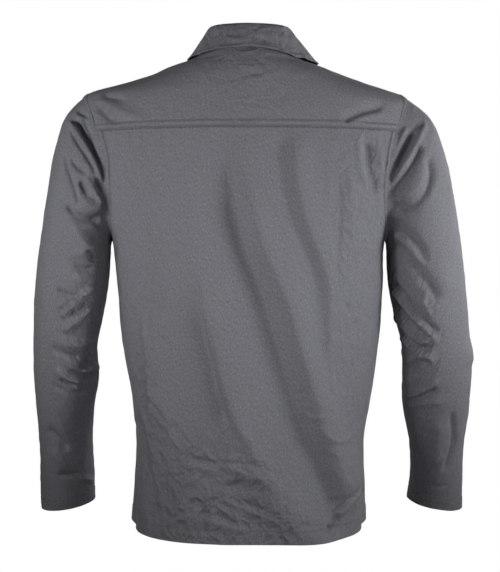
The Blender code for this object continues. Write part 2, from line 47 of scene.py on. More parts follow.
# Metres. The front faces -Y and the wearer's left is +X; the origin is the middle of the neck.
# The body is one smooth form of level sections, and a place on it is an angle and a height:
# angle 0 is the side asked for, 90 degrees the back and -90 degrees the front.
jacket = {
    "cloth": 0.0011,  # thickness of one ply of the twill
    "hemZ": -0.722,
    "hem": 0.0200,  # depth of the turned hem
    "sleeveHem": 0.0170,
    "lap": 0.0010,  # how far a lapped edge stands up
    "rows": (0.0016, 0.0095),  # the two rows of stitches of a lapped seam, from its edge
    "hemLift": 0.0006,  # how far the hem's inner ply lifts the outer one
    "hemStrength": 0.6,  # of its stitched groove, beside a lapped seam's
    # the mesh is finest beside hems and seams: how far in from them, and its steps there
    "fineHem": 0.0225,
    "hemStep": 0.0009,
    "fineSeam": 0.0114,
    "seamStep": 0.0006,
    "grainTurn": 0.03,  # how gently the grain starts to turn back from the middle
}

bodyForm = {
    "columns": ("z", "left", "right", "back", "front", "square", "spread"),
    "rows": (
        (0.012, 0.046, 0.048, 0.054, 0.044, 2.80, 0.00),
        (0.000, 0.057, 0.059, 0.062, 0.052, 2.70, 0.00),
        (-0.013, 0.067, 0.067, 0.0735, 0.0600, 2.40, 0.00),
        (-0.0225, 0.086, 0.082, 0.0800, 0.0645, 2.20, 0.00),
        (-0.0315, 0.114, 0.110, 0.0850, 0.0690, 2.05, 0.00),
        (-0.0415, 0.137, 0.136, 0.0890, 0.0735, 2.00, 0.00),
        (-0.0555, 0.181, 0.176, 0.0930, 0.080, 1.82, 0.00),
        (-0.0705, 0.2345, 0.222, 0.0962, 0.087, 1.70, 0.00),
        (-0.082, 0.2475, 0.243, 0.0985, 0.0925, 1.74, 0.00),
        (-0.100, 0.2500, 0.2485, 0.1018, 0.102, 1.88, 0.00),
        (-0.130, 0.2460, 0.2465, 0.1062, 0.117, 2.10, 0.00),
        (-0.170, 0.2330, 0.2360, 0.1112, 0.132, 2.36, 0.00),
        (-0.220, 0.2195, 0.2200, 0.1160, 0.141, 2.55, 0.00),
        (-0.260, 0.2080, 0.2110, 0.1185, 0.144, 2.60, 0.00),
        (-0.300, 0.1995, 0.2045, 0.1203, 0.144, 2.60, 0.00),
        (-0.356, 0.1940, 0.2030, 0.1220, 0.143, 2.60, 0.00),
        (-0.446, 0.1860, 0.1970, 0.1240, 0.141, 2.60, 0.04),
        (-0.536, 0.1710, 0.1840, 0.1265, 0.142, 2.55, 0.14),
        (-0.596, 0.1655, 0.1740, 0.1285, 0.144, 2.50, 0.19),
        (-0.656, 0.1645, 0.1730, 0.1315, 0.147, 2.45, 0.25),
        (-0.722, 0.1680, 0.1730, 0.1340, 0.150, 2.40, 0.30),
    ),
}
neckSeam = {"left": 0.074, "right": 0.080, "back": 0.062, "front": 0.084}
armhole = {"midY": -0.004, "halfY": 0.064, "topZ": -0.0770, "pitZ": -0.287}
yoke = {"backZ": -0.1215, "dip": 0.006, "frontY": -0.048}
frontPanel = {"overlap": 0.018, "under": 0.0034, "underEdge": 0.028, "underEase": 0.050}


def smoothStep(t):
    # 3 t squared less 2 t cubed, held between 0 and 1
    t = np.clip(t, 0, 1)
    return t * t * (3 - 2 * t)


def smoothThrough(knots, values, at):
    # a cubic through rising knots, with each slope taken from the rows on both sides
    slopes = np.gradient(values, knots)
    row = np.clip(np.searchsorted(knots, at) - 1, 0, len(knots) - 2)
    span = knots[row + 1] - knots[row]
    t = (at - knots[row]) / span
    ends = values[row] * (1 + 2 * t) * (1 - t) ** 2 + values[row + 1] * t * t * (3 - 2 * t)
    return ends + span * (slopes[row] * t * (1 - t) ** 2 + slopes[row + 1] * t * t * (t - 1))


def columnOf(settings, name):
    # one named column of a piece's table of rows
    place = settings["columns"].index(name)
    return np.array([row[place] for row in settings["rows"]], float)


def bodyMeasure(name, z):
    # one of the form's measures at any height
    return smoothThrough(columnOf(bodyForm, "z")[::-1], columnOf(bodyForm, name)[::-1], z)


def halfWidth(side, across, z):
    # from the middle to the side asked for, or to the other one where across is below 0
    own, other = sideNames[side]
    return np.where(across >= 0, bodyMeasure(own, z), bodyMeasure(other, z))


def halfDepth(along, z):
    # from the middle to the back, or to the front where along is below 0
    return np.where(along >= 0, bodyMeasure("back", z), bodyMeasure("front", z))


def onForm(side, places):
    # squared ovals: half width times cos^(2/square) across, half depth times sin^(2/square) along
    angle, z = places[..., 0], places[..., 1]
    across, along, power = np.cos(angle), np.sin(angle), 2 / bodyMeasure("square", z)
    x = halfWidth(side, across, z) * np.sign(across) * np.abs(across) ** power
    y = np.sign(along) * np.abs(along) ** power
    x = x * (1 + bodyMeasure("spread", z) * np.maximum(0, -y))
    return np.stack([side * x, halfDepth(along, z) * y, z + 0 * x], axis=-1)


def formAngle(side, x, y, z):
    # the angle whose squared cosine and sine give x and y: onForm turned round
    power = bodyMeasure("square", z) / 2
    across = np.sign(side * x) * np.abs(x / halfWidth(side, side * x, z)) ** power
    along = np.sign(y) * np.abs(y / halfDepth(y, z)) ** power
    return np.arctan2(along, across)


def formHeight(side, x, y):
    # halving between two heights until the section there passes through the place
    low = np.full(np.shape(x), armhole["topZ"] - 0.04)
    high = np.full(np.shape(x), bodyForm["rows"][0][0])
    for _ in range(40):
        z = (low + high) / 2
        power = bodyMeasure("square", z)
        reach = np.abs(x / halfWidth(side, side * x, z)) ** power
        reach = reach + np.abs(y / halfDepth(y, z)) ** power
        low, high = np.where(reach < 1, z, low), np.where(reach < 1, high, z)
    return (low + high) / 2


def evenTurns(count):
    # equal turns round a ring, the first at 0
    return np.arange(count) * math.tau / count


def unit(vectors):
    # each vector divided by its own length
    return vectors / np.maximum(np.linalg.norm(vectors, axis=-1, keepdims=True), 1e-12)


def formNormal(side, places, turn=0.02, rise=0.004):
    # square to a small step round the form and a small step up it
    top = bodyForm["rows"][0][0]
    up, down = np.minimum(places[..., 1] + rise, top), places[..., 1] - rise
    roundIt = onForm(side, places + [turn, 0]) - onForm(side, places - [turn, 0])
    upIt = (onForm(side, np.stack([places[..., 0], up], axis=-1))
            - onForm(side, np.stack([places[..., 0], down], axis=-1)))
    return unit(np.cross(roundIt, upIt) * side)


def formPlaces(side, x, y):
    # the places on the form that lie below points seen from above
    z = formHeight(side, x, y)
    return np.stack([formAngle(side, x, y, z), z], axis=-1)


def neckPlaces(side, plan):
    # an oval seen from above, laid on the form
    own, other = sideNames[side]
    across = np.cos(plan)
    x = side * np.where(across >= 0, neckSeam[own], neckSeam[other]) * across
    y = np.where(plan >= 0, neckSeam["back"], neckSeam["front"]) * np.sin(plan)
    return formPlaces(side, x, y)


def armholeSpan():
    # the armhole's middle height, and half its length
    return (armhole["topZ"] + armhole["pitZ"]) / 2, (armhole["topZ"] - armhole["pitZ"]) / 2


def armholePlaces(side, turn):
    # an oval seen from the side: turn 0 is its top, 90 degrees its back and 180 the armpit
    y = armhole["midY"] + armhole["halfY"] * np.sin(turn)
    middle, half = armholeSpan()
    z = middle + half * np.cos(turn)
    along = np.sign(y) * np.abs(y / halfDepth(y, z)) ** (bodyMeasure("square", z) / 2)
    return np.stack([np.arcsin(along), z], axis=-1)


def yokeCornerTurns():
    # the armhole's turns where the yoke's back seam and its front seam meet it
    middle, half = armholeSpan()
    back = math.acos((yoke["backZ"] - yoke["dip"] - middle) / half)
    front = -math.asin((armhole["midY"] - yoke["frontY"]) / armhole["halfY"])
    return back, front


def yokeNeckTurn():
    # the neck's turn, seen from above, where the yoke's front seam meets it
    return -math.asin(-yoke["frontY"] / neckSeam["front"])


def otherSide(places):
    # the same places, counted from the opposite side
    return np.stack([math.pi - places[..., 0], places[..., 1]], axis=-1)


def joined(*runs):
    # runs end to end, each shared corner kept once
    return np.concatenate([runs[0]] + [run[1:] for run in runs[1:]])


def lengthsAlong(points, axis=0):
    # running length from the first point
    steps = np.linalg.norm(np.diff(points, axis=axis), axis=-1)
    start = np.zeros_like(np.take(steps, [0], axis=axis))
    return np.cumsum(np.concatenate([start, steps], axis=axis), axis=axis)


def lengthsBack(points, axis=0):
    # running length from the last point
    return np.flip(lengthsAlong(np.flip(points, axis), axis), axis)


def alongPath(at, reach, values):
    # the values of a line's places, at given lengths along it
    return np.stack([np.interp(at, reach, column) for column in values.T], axis=-1)


def shares(length, count, fineStart=0.0, fineEnd=0.0, step=jacket["seamStep"]):
    # shares of a length, at fine steps near one or both of its ends and even ones between them
    first, last = round(fineStart / step), round(fineEnd / step)
    middle = np.linspace(fineStart, length - fineEnd, count - first - last)
    ends = length - np.arange(last)[::-1] * step
    return np.concatenate([np.arange(first) * step, middle, ends]) / length


def placed(side, places, at):
    # the same run of places, at given shares of its length along the form
    reach = lengthsAlong(onForm(side, places))
    at = np.linspace(0, 1, at) if isinstance(at, int) else at
    return alongPath(at * reach[-1], reach, places)


def runLength(side, places):
    # the whole length of a run of places along the form
    return lengthsAlong(onForm(side, places))[-1]


def fillPatch(side, bottom, top, start, end):
    # a Coons patch: both blends between facing edges added, less the blend of the four corners
    def own(run):
        # shares of length along one edge
        reach = lengthsAlong(onForm(side, run))
        return reach / reach[-1]

    u = ((own(bottom) + own(top)) / 2)[None, :, None]
    v = ((own(start) + own(end)) / 2)[:, None, None]
    edges = (1 - v) * bottom[None] + v * top[None] + (1 - u) * start[:, None] + u * end[:, None]
    below, above = (1 - u) * bottom[0] + u * bottom[-1], (1 - u) * top[0] + u * top[-1]
    return edges - ((1 - v) * below + v * above)


def meetingSeams(*distances, reach=0.010):
    # folds ease out at a panel's seams, so that neighbouring panels still meet
    ease = 1
    for distance in distances:
        ease = ease * smoothStep(distance / reach)
    return ease


def straightGrain(points, facing):
    # across: x, and near the sides how far the form has turned back from its middle; up: z
    x, y, z = np.moveaxis(points, -1, 0)
    depth = bodyMeasure("back" if facing > 0 else "front", z) - facing * y
    return np.stack([x + np.tanh(x / jacket["grainTurn"]) * depth, z], axis=-1)


def gridNormals(points, ring=False):
    # the cross product of the steps down the rows and along the columns
    if ring:
        points = np.concatenate([points[:, -1:], points, points[:, :1]], axis=1)
    normal = unit(np.cross(np.gradient(points, axis=0), np.gradient(points, axis=1)))
    return normal[:, 1:-1] if ring else normal


def plainWaves(points, size, seed, count=14):
    # soft unevenness between -1 and 1: a sum of plane waves of about one size in seeded directions
    draw = np.random.default_rng(seed)
    ways = unit(draw.normal(size=(count, 3))) * math.tau / size * draw.uniform(0.6, 1.5, (count, 1))
    phases = draw.uniform(0, math.tau, count)
    return np.sin(points @ ways.T + phases).sum(axis=-1) / math.sqrt(count * 2)


def uneven(points, waves):
    # several sets of waves together: the height, size and seed of each
    return sum(height * plainWaves(points, size, seed) for height, size, seed in waves)


def smoothPath(path, steps=14):
    # a smooth line through a crease's places, in equal steps
    path = np.array(path, float)
    reach = lengthsAlong(path)
    at = np.linspace(0, reach[-1], steps)
    return np.stack([smoothThrough(reach, path[:, k], at) for k in range(2)], axis=-1)


def creaseRelief(x, z, rows):
    # each row is a crease: the places it runs through, how wide it is on its two sides (first the
    # +X side of one that runs down), how far it stands up, and its fades at both ends (mm).
    # relief = height times exp(-(aside / width)^2), times the two fades along it
    spots = np.stack([np.ravel(x), np.ravel(z)], axis=-1) * 1000
    relief = np.zeros(len(spots))
    for path, firstWidth, secondWidth, height, fadeIn, fadeOut in rows:
        line = smoothPath(path)
        reach = lengthsAlong(line)
        margin = 2.6 * max(firstWidth, secondWidth)
        lowest, highest = line.min(axis=0) - margin, line.max(axis=0) + margin
        near = np.all((spots > lowest) & (spots < highest), axis=1)
        spot = spots[near]
        nearest, along, aside = np.full(len(spot), 1e9), np.zeros(len(spot)), np.zeros(len(spot))
        for k in range(len(line) - 1):
            run = line[k + 1] - line[k]
            gap = spot - line[k]
            share = np.clip(gap @ run / (run @ run), 0, 1)
            away = np.linalg.norm(gap - share[:, None] * run, axis=1)
            closer = away < nearest
            turn = np.sign(run[0] * gap[:, 1] - run[1] * gap[:, 0])
            nearest = np.where(closer, away, nearest)
            aside = np.where(closer, turn * away, aside)
            along = np.where(closer, reach[k] + share * (reach[k + 1] - reach[k]), along)
        width = np.where(aside > 0, firstWidth, secondWidth)
        fade = smoothStep(along / fadeIn) * smoothStep((reach[-1] - along) / fadeOut)
        relief[near] += height * fade * np.exp(-((aside / width) ** 2))
    return relief.reshape(np.shape(x)) / 1000


sewnRow = {
    "depth": 0.0008,  # of the groove that the thread pulls
    "width": 0.0012,
    # how wide the painted shade of a groove is
    "shadeWidth": 0.0010,
    "ripple": 0.0003,  # height, length and reach of the puckers beside it
    "rippleLength": 0.011,
    "rippleReach": 0.006,
    "plyEnd": 0.0022,  # how softly the end of a ply shows through
    "edgeDip": 0.0004,  # how far an edge sinks where another panel laps it
    "edgeDipReach": 0.004,
}


def bell(distance, middle, width):
    # exp(-(distance from the middle / width)^2)
    return np.exp(-(((distance - middle) / width) ** 2))


def seamRelief(distance, along, row, seed):
    # a stitched row pulls a narrow groove, and the cloth beside it ripples a little
    places = np.stack([along, 0 * along, 0 * along], axis=-1)
    ripple = plainWaves(places, sewnRow["rippleLength"], seed)
    return (-sewnRow["depth"] * bell(distance, row, sewnRow["width"])
            + sewnRow["ripple"] * ripple * bell(distance, row, sewnRow["rippleReach"]))


def sewn(seams, seed):
    # the grooves of all the rows of stitches, and painted shade that is strongest where a place
    # lies deepest in one, from 0 to 1;
    # a row is the distance from its edge, the length along it, its own distance and its strength
    relief, shade = 0, 0
    for distance, along, row, strength in seams:
        relief = relief + strength * seamRelief(distance, along, row, seed)
        # the painted shade of a groove, highest at its row
        shade = np.maximum(shade, strength * bell(distance, row, sewnRow["shadeWidth"]))
    return relief, shade


def foldedEdge(distance, depth, lift):
    # a turned or lapped edge: the plies under it lift it out to their own end
    return lift * (1 - smoothStep((distance - depth) / sewnRow["plyEnd"]))


def lappedUnder(distance):
    # an edge sinks a little where the next panel laps over it
    return sewnRow["edgeDip"] * (1 - smoothStep(distance / sewnRow["edgeDipReach"]))


twillCloth = {
    "colour": "9a9ba1",
    "shade": "505156",  # the darker flecks
    "paintedGrooveShade": "505156",  # painted shade in the stitched grooves
    "thread": "8e8f94",
    "roughness": 0.9,
    "specular": 0.25,
    "sheen": 0.04,
    "slant": -27,  # degrees that the ribs lean from the grain
    "drawnOut": 0.4,  # flecks are longer along the ribs
    "flecks": 600,  # to the metre: yarns 0.4 mm thick drawn 1.7 mm wide, to show at all
    "fibres": 700,
    "ribs": 0.0018,  # apart; 0.45 mm in the real cloth, drawn coarser to show
    "ribWobble": 0.8,
    "ribStrength": 0.5,
    "ribDepth": 0.0003,
    "crumples": 55,  # to the metre: cells about 18 mm across
    "crumpleDepth": 0.0060,
    "wander": 28,  # to the metre: the slow noise that bends the cells, and how far
    "wanderReach": 0.030,
}


def linear(hexColour):
    # sRGB to linear: v / 12.92 near black, otherwise ((v + 0.055) / 1.055) to the power 2.4
    values = [int(hexColour[i : i + 2], 16) / 255 for i in (0, 2, 4)]
    return (*[v / 12.92 if v <= 0.04045 else ((v + 0.055) / 1.055) ** 2.4 for v in values], 1)


def addNode(tree, kind, links=(), **settings):
    # settings name a node's own values; links are (from node, from socket, to socket)
    node = tree.nodes.new(kind)
    for name, value in settings.items():
        if name in node.bl_rna.properties:
            setattr(node, name, value)
        else:
            node.inputs[name.replace("_", " ")].default_value = value
    for source, output, target in links:
        tree.links.new(source.outputs[output], node.inputs[target])
    return node


def newMaterial(name):
    # an empty material with its nodes and its shader
    material = bpy.data.materials.new(name)
    material.use_nodes = True
    tree = material.node_tree
    shader = tree.nodes["Principled BSDF"]
    return material, tree, shader


def cottonTwill(name):
    # cotton and polyester twill: matt, with fine slanting ribs and a slightly mottled grey,
    # with painted shade in the stitched grooves, and finely crumpled where it has been pressed
    # together
    material, tree, shader = newMaterial(name)
    shader.inputs["Roughness"].default_value = twillCloth["roughness"]
    shader.inputs["Specular IOR Level"].default_value = twillCloth["specular"]
    shader.inputs["Sheen Weight"].default_value = twillCloth["sheen"]
    grain = addNode(tree, "ShaderNodeUVMap", uv_map="grain")
    turn = addNode(tree, "ShaderNodeMapping", [(grain, 0, "Vector")])
    turn.inputs["Rotation"].default_value = (0, 0, math.radians(twillCloth["slant"]))
    drawn = addNode(tree, "ShaderNodeMapping", [(turn, 0, "Vector")])
    drawn.inputs["Scale"].default_value = (1, twillCloth["drawnOut"], 1)
    mottle = addNode(tree, "ShaderNodeTexNoise", [(drawn, 0, "Vector")],
                     Scale=twillCloth["flecks"], Detail=2)
    cloth = addNode(tree, "ShaderNodeMixRGB", [(mottle, 0, 0)])
    cloth.inputs[1].default_value = linear(twillCloth["shade"])
    cloth.inputs[2].default_value = linear(twillCloth["colour"])
    # painted shade: the seam attribute mixes the cloth's colour towards the dark groove grey
    seam = addNode(tree, "ShaderNodeAttribute", attribute_name="paintedSeamShade")
    mix = addNode(tree, "ShaderNodeMixRGB", [(seam, 2, 0), (cloth, 0, 1)])
    mix.inputs[2].default_value = linear(twillCloth["paintedGrooveShade"])
    tree.links.new(mix.outputs[0], shader.inputs["Base Color"])
    # creases too fine for the mesh: cells with crisp borders, bent by a slow noise
    wander = addNode(tree, "ShaderNodeTexNoise", [(grain, 0, "Vector")],
                     Scale=twillCloth["wander"], Detail=2)
    bent = addNode(tree, "ShaderNodeVectorMath", [(wander, 1, 0), (grain, 0, 2)],
                   operation="MULTIPLY_ADD")
    bent.inputs[1].default_value = (twillCloth["wanderReach"], twillCloth["wanderReach"], 0)
    cells = addNode(tree, "ShaderNodeTexVoronoi", [(bent, 0, "Vector")],
                    Scale=twillCloth["crumples"], Detail=1.0)
    crumple = addNode(tree, "ShaderNodeAttribute", attribute_name="crumple")
    creases = addNode(tree, "ShaderNodeMath", [(cells, 0, 0), (crumple, 2, 1)],
                      operation="MULTIPLY")
    soft = addNode(tree, "ShaderNodeBump", [(creases, 0, "Height")],
                   Strength=1.0, Distance=twillCloth["crumpleDepth"])
    # a wave texture repeats every 0.314 m at scale 1
    ribs = addNode(tree, "ShaderNodeTexWave", [(turn, 0, "Vector")],
                   Scale=0.314 / twillCloth["ribs"], Distortion=twillCloth["ribWobble"], Detail=2)
    fibre = addNode(tree, "ShaderNodeTexNoise", [(drawn, 0, "Vector")],
                    Scale=twillCloth["fibres"], Detail=2)
    rough = addNode(tree, "ShaderNodeMath", [(ribs, 1, 0), (fibre, 0, 1)], operation="ADD")
    bump = addNode(tree, "ShaderNodeBump", [(rough, 0, "Height"), (soft, 0, "Normal")],
                   Strength=twillCloth["ribStrength"], Distance=twillCloth["ribDepth"])
    tree.links.new(bump.outputs[0], shader.inputs["Normal"])
    return material


def threadMaterial(name):
    # spun polyester sewing thread: the cloth's own grey, a little smoother
    material, _, shader = newMaterial(name)
    shader.inputs["Base Color"].default_value = linear(twillCloth["thread"])
    shader.inputs["Roughness"].default_value = 0.7
    return material


twill = cottonTwill("cotton_poly_twill")
sewingThread = threadMaterial("polyester_thread")


def finishPiece(name, mesh, material, replaced=()):
    # every piece rides on the one body, and hides the CAD nodes it stands for
    mesh.materials.append(material)
    mesh.shade_smooth()
    piece = bpy.data.objects.new(name, mesh)
    bpy.context.scene.collection.objects.link(piece)
    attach(piece, "root")
    if replaced:
        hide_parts(*replaced)
    return piece


def gridFaces(rows, columns, ring=True):
    # quads between the rows of a grid; a ring's last column meets its first
    spans = columns if ring else columns - 1
    row, column = np.meshgrid(np.arange(rows - 1), np.arange(spans), indexing="ij")
    low, after = row * columns, (column + 1) % columns
    corners = [low + column, low + after, low + columns + after, low + columns + column]
    return np.stack(corners, axis=-1).reshape(-1, 4)


def gridMesh(name, points, grain, ring=False):
    # a grid of places as a mesh, with its grain laid out flat at the corners of its faces
    mesh = bpy.data.meshes.new(name)
    faces = gridFaces(*points.shape[:2], ring)
    mesh.from_pydata(points.reshape(-1, 3).tolist(), [], faces.tolist())
    ends = np.stack([grain[:-1, :-1], grain[:-1, 1:], grain[1:, 1:], grain[1:, :-1]], axis=2)
    layer = mesh.uv_layers.new(name="grain")
    layer.data.foreach_set("uv", ends.reshape(-1).astype(np.float32))
    return mesh


def addCloth(name, points, normals, replaced, shade, crumple, thickness=jacket["cloth"], ring=False,
             grain=None):
    # a thin shell whose outer face is the grid; its grain is in metres, by default the lengths
    # along its rows and columns, and columns turn round where the faces would point inwards
    if grain is None:
        acrossGrain = lengthsAlong(points, axis=1)
        acrossGrain = acrossGrain - acrossGrain[:, [points.shape[1] // 2]]
        grain = np.stack([acrossGrain, lengthsAlong(points)], axis=-1)
    # the painted shade of the stitched grooves, and the crumple for the bump, at each point
    marks = {"paintedSeamShade": shade + 0 * points[..., 0], "crumple": crumple + 0 * points[..., 0]}
    if np.sum(gridNormals(points, ring) * normals) > 0:
        points, grain = points[:, ::-1], grain[:, ::-1]
        marks = {mark: values[:, ::-1] for mark, values in marks.items()}
    mesh = gridMesh(name, points, grain, ring)
    for mark, values in marks.items():
        layer = mesh.attributes.new(mark, "FLOAT", "POINT")
        layer.data.foreach_set("value", values.reshape(-1).astype(np.float32))
    piece = finishPiece(name, mesh, twill, replaced=replaced)
    shell = piece.modifiers.new("Solidify", "SOLIDIFY")
    shell.thickness = thickness
    shell.offset = -1
    return piece


def lineAcross(points, normals, distance, at):
    # for each column, the place where the distance from an edge reaches a value
    row = np.clip((distance < at).sum(axis=0), 1, len(points) - 1)
    column = np.arange(points.shape[1])
    low, high = distance[row - 1, column], distance[row, column]
    share = ((at - low) / np.maximum(high - low, 1e-9))[:, None]
    line = points[row - 1, column] * (1 - share) + points[row, column] * share
    return line, unit(normals[row - 1, column] + normals[row, column])


def linesBeside(points, normals, distance, rows, far=False, part=slice(None)):
    # the lines at given distances from a grid's first column, or from its last
    order = slice(None, None, -1) if far else slice(None)
    grids = [np.swapaxes(grid, 0, 1)[order][:, part] for grid in (points, normals, distance)]
    return [lineAcross(*grids, row) for row in rows]


stitch = {"pitch": 0.0027, "length": 0.0018, "radius": 0.00040, "lift": 0.5,
          "around": 4, "rings": 3}


def stitchPoints(line, normals):
    # capsules along a line at equal steps: a ring's radius is the sine of its way along
    reach = lengthsAlong(line)
    at = np.arange(stitch["pitch"] / 2, reach[-1], stitch["pitch"])
    centre, up = alongPath(at, reach, line), unit(alongPath(at, reach, normals))
    along = unit(alongPath(at + stitch["radius"], reach, line) - centre + 1e-12)
    aside = unit(np.cross(along, up))
    share = np.linspace(0, math.pi, stitch["rings"] + 2)
    turn = evenTurns(stitch["around"])
    length = -np.cos(share) * stitch["length"] / 2
    radius = np.sqrt(np.sin(share)) * stitch["radius"]
    ring = (aside[:, None, None] * np.cos(turn)[None, None, :, None]
            + up[:, None, None] * np.sin(turn)[None, None, :, None]) * radius[None, :, None, None]
    lift = (np.sin(share)[None, :, None, None] * stitch["radius"] * stitch["lift"]
            * up[:, None, None])
    return centre[:, None, None] + along[:, None, None] * length[None, :, None, None] + ring + lift


def addStitches(name, rows):
    # every row of stitches of a panel, as one mesh of small closed capsules
    blocks = np.concatenate([stitchPoints(line, normals) for line, normals in rows])
    count, rings, around = blocks.shape[:3]
    inner = blocks[:, 1:-1].reshape(count, -1, 3)
    poles = blocks[:, [0, -1], 0]
    perStitch = inner.shape[1] + 2
    points = np.concatenate([inner, poles], axis=1).reshape(-1, 3)
    quads = gridFaces(rings - 2, around)
    spoke = np.arange(around)
    after, last = (spoke + 1) % around, (rings - 3) * around
    first = np.stack([np.full(around, perStitch - 2), after, spoke], axis=-1)
    final = np.stack([np.full(around, perStitch - 1), last + spoke, last + after], axis=-1)
    starts = (np.arange(count) * perStitch)[:, None, None]
    faces = [*(quads[None] + starts).reshape(-1, 4).tolist(),
             *(first[None] + starts).reshape(-1, 3).tolist(),
             *(final[None] + starts).reshape(-1, 3).tolist()]
    mesh = bpy.data.meshes.new(name)
    mesh.from_pydata(points.tolist(), [], faces)
    return finishPiece(name, mesh, sewingThread)


def sideAndArmhole(side, turnEnd, rows):
    # the edge up the side seam and on round the armhole, with fine steps over the turned hem
    pit = armholePlaces(side, np.array([math.pi]))[0]
    up = np.stack([np.full(50, pit[0]), np.linspace(jacket["hemZ"], pit[1], 50)], axis=-1)
    start = math.pi if turnEnd > 0 else -math.pi
    roundIt = armholePlaces(side, np.linspace(start, turnEnd, 200))
    hemFirst = shares(runLength(side, up), rows[0], jacket["fineHem"], step=jacket["hemStep"])
    return joined(placed(side, up, hemFirst), placed(side, roundIt, rows[1]))


def yokeFrontSeam(side, at):
    # straight, seen from above, from the armhole to the neck
    turn = np.array([yokeCornerTurns()[1]])
    start = onForm(side, armholePlaces(side, turn))[0]
    end = onForm(side, neckPlaces(side, np.array([yokeNeckTurn()])))[0]
    share = np.linspace(0, 1, 160)
    x = start[0] + (end[0] - start[0]) * share
    y = start[1] + (end[1] - start[1]) * share
    return placed(side, formPlaces(side, x, y), at)


def yokeBackSeam(start, end):
    # across the back, highest in its middle by the dip times 1 - (2 share - 1)^2
    across = np.linspace(0, 1, 600)[:, None]
    run = start + (end - start) * across
    run[:, 1:] += yoke["dip"] * (1 - (2 * across - 1) ** 2)
    return run


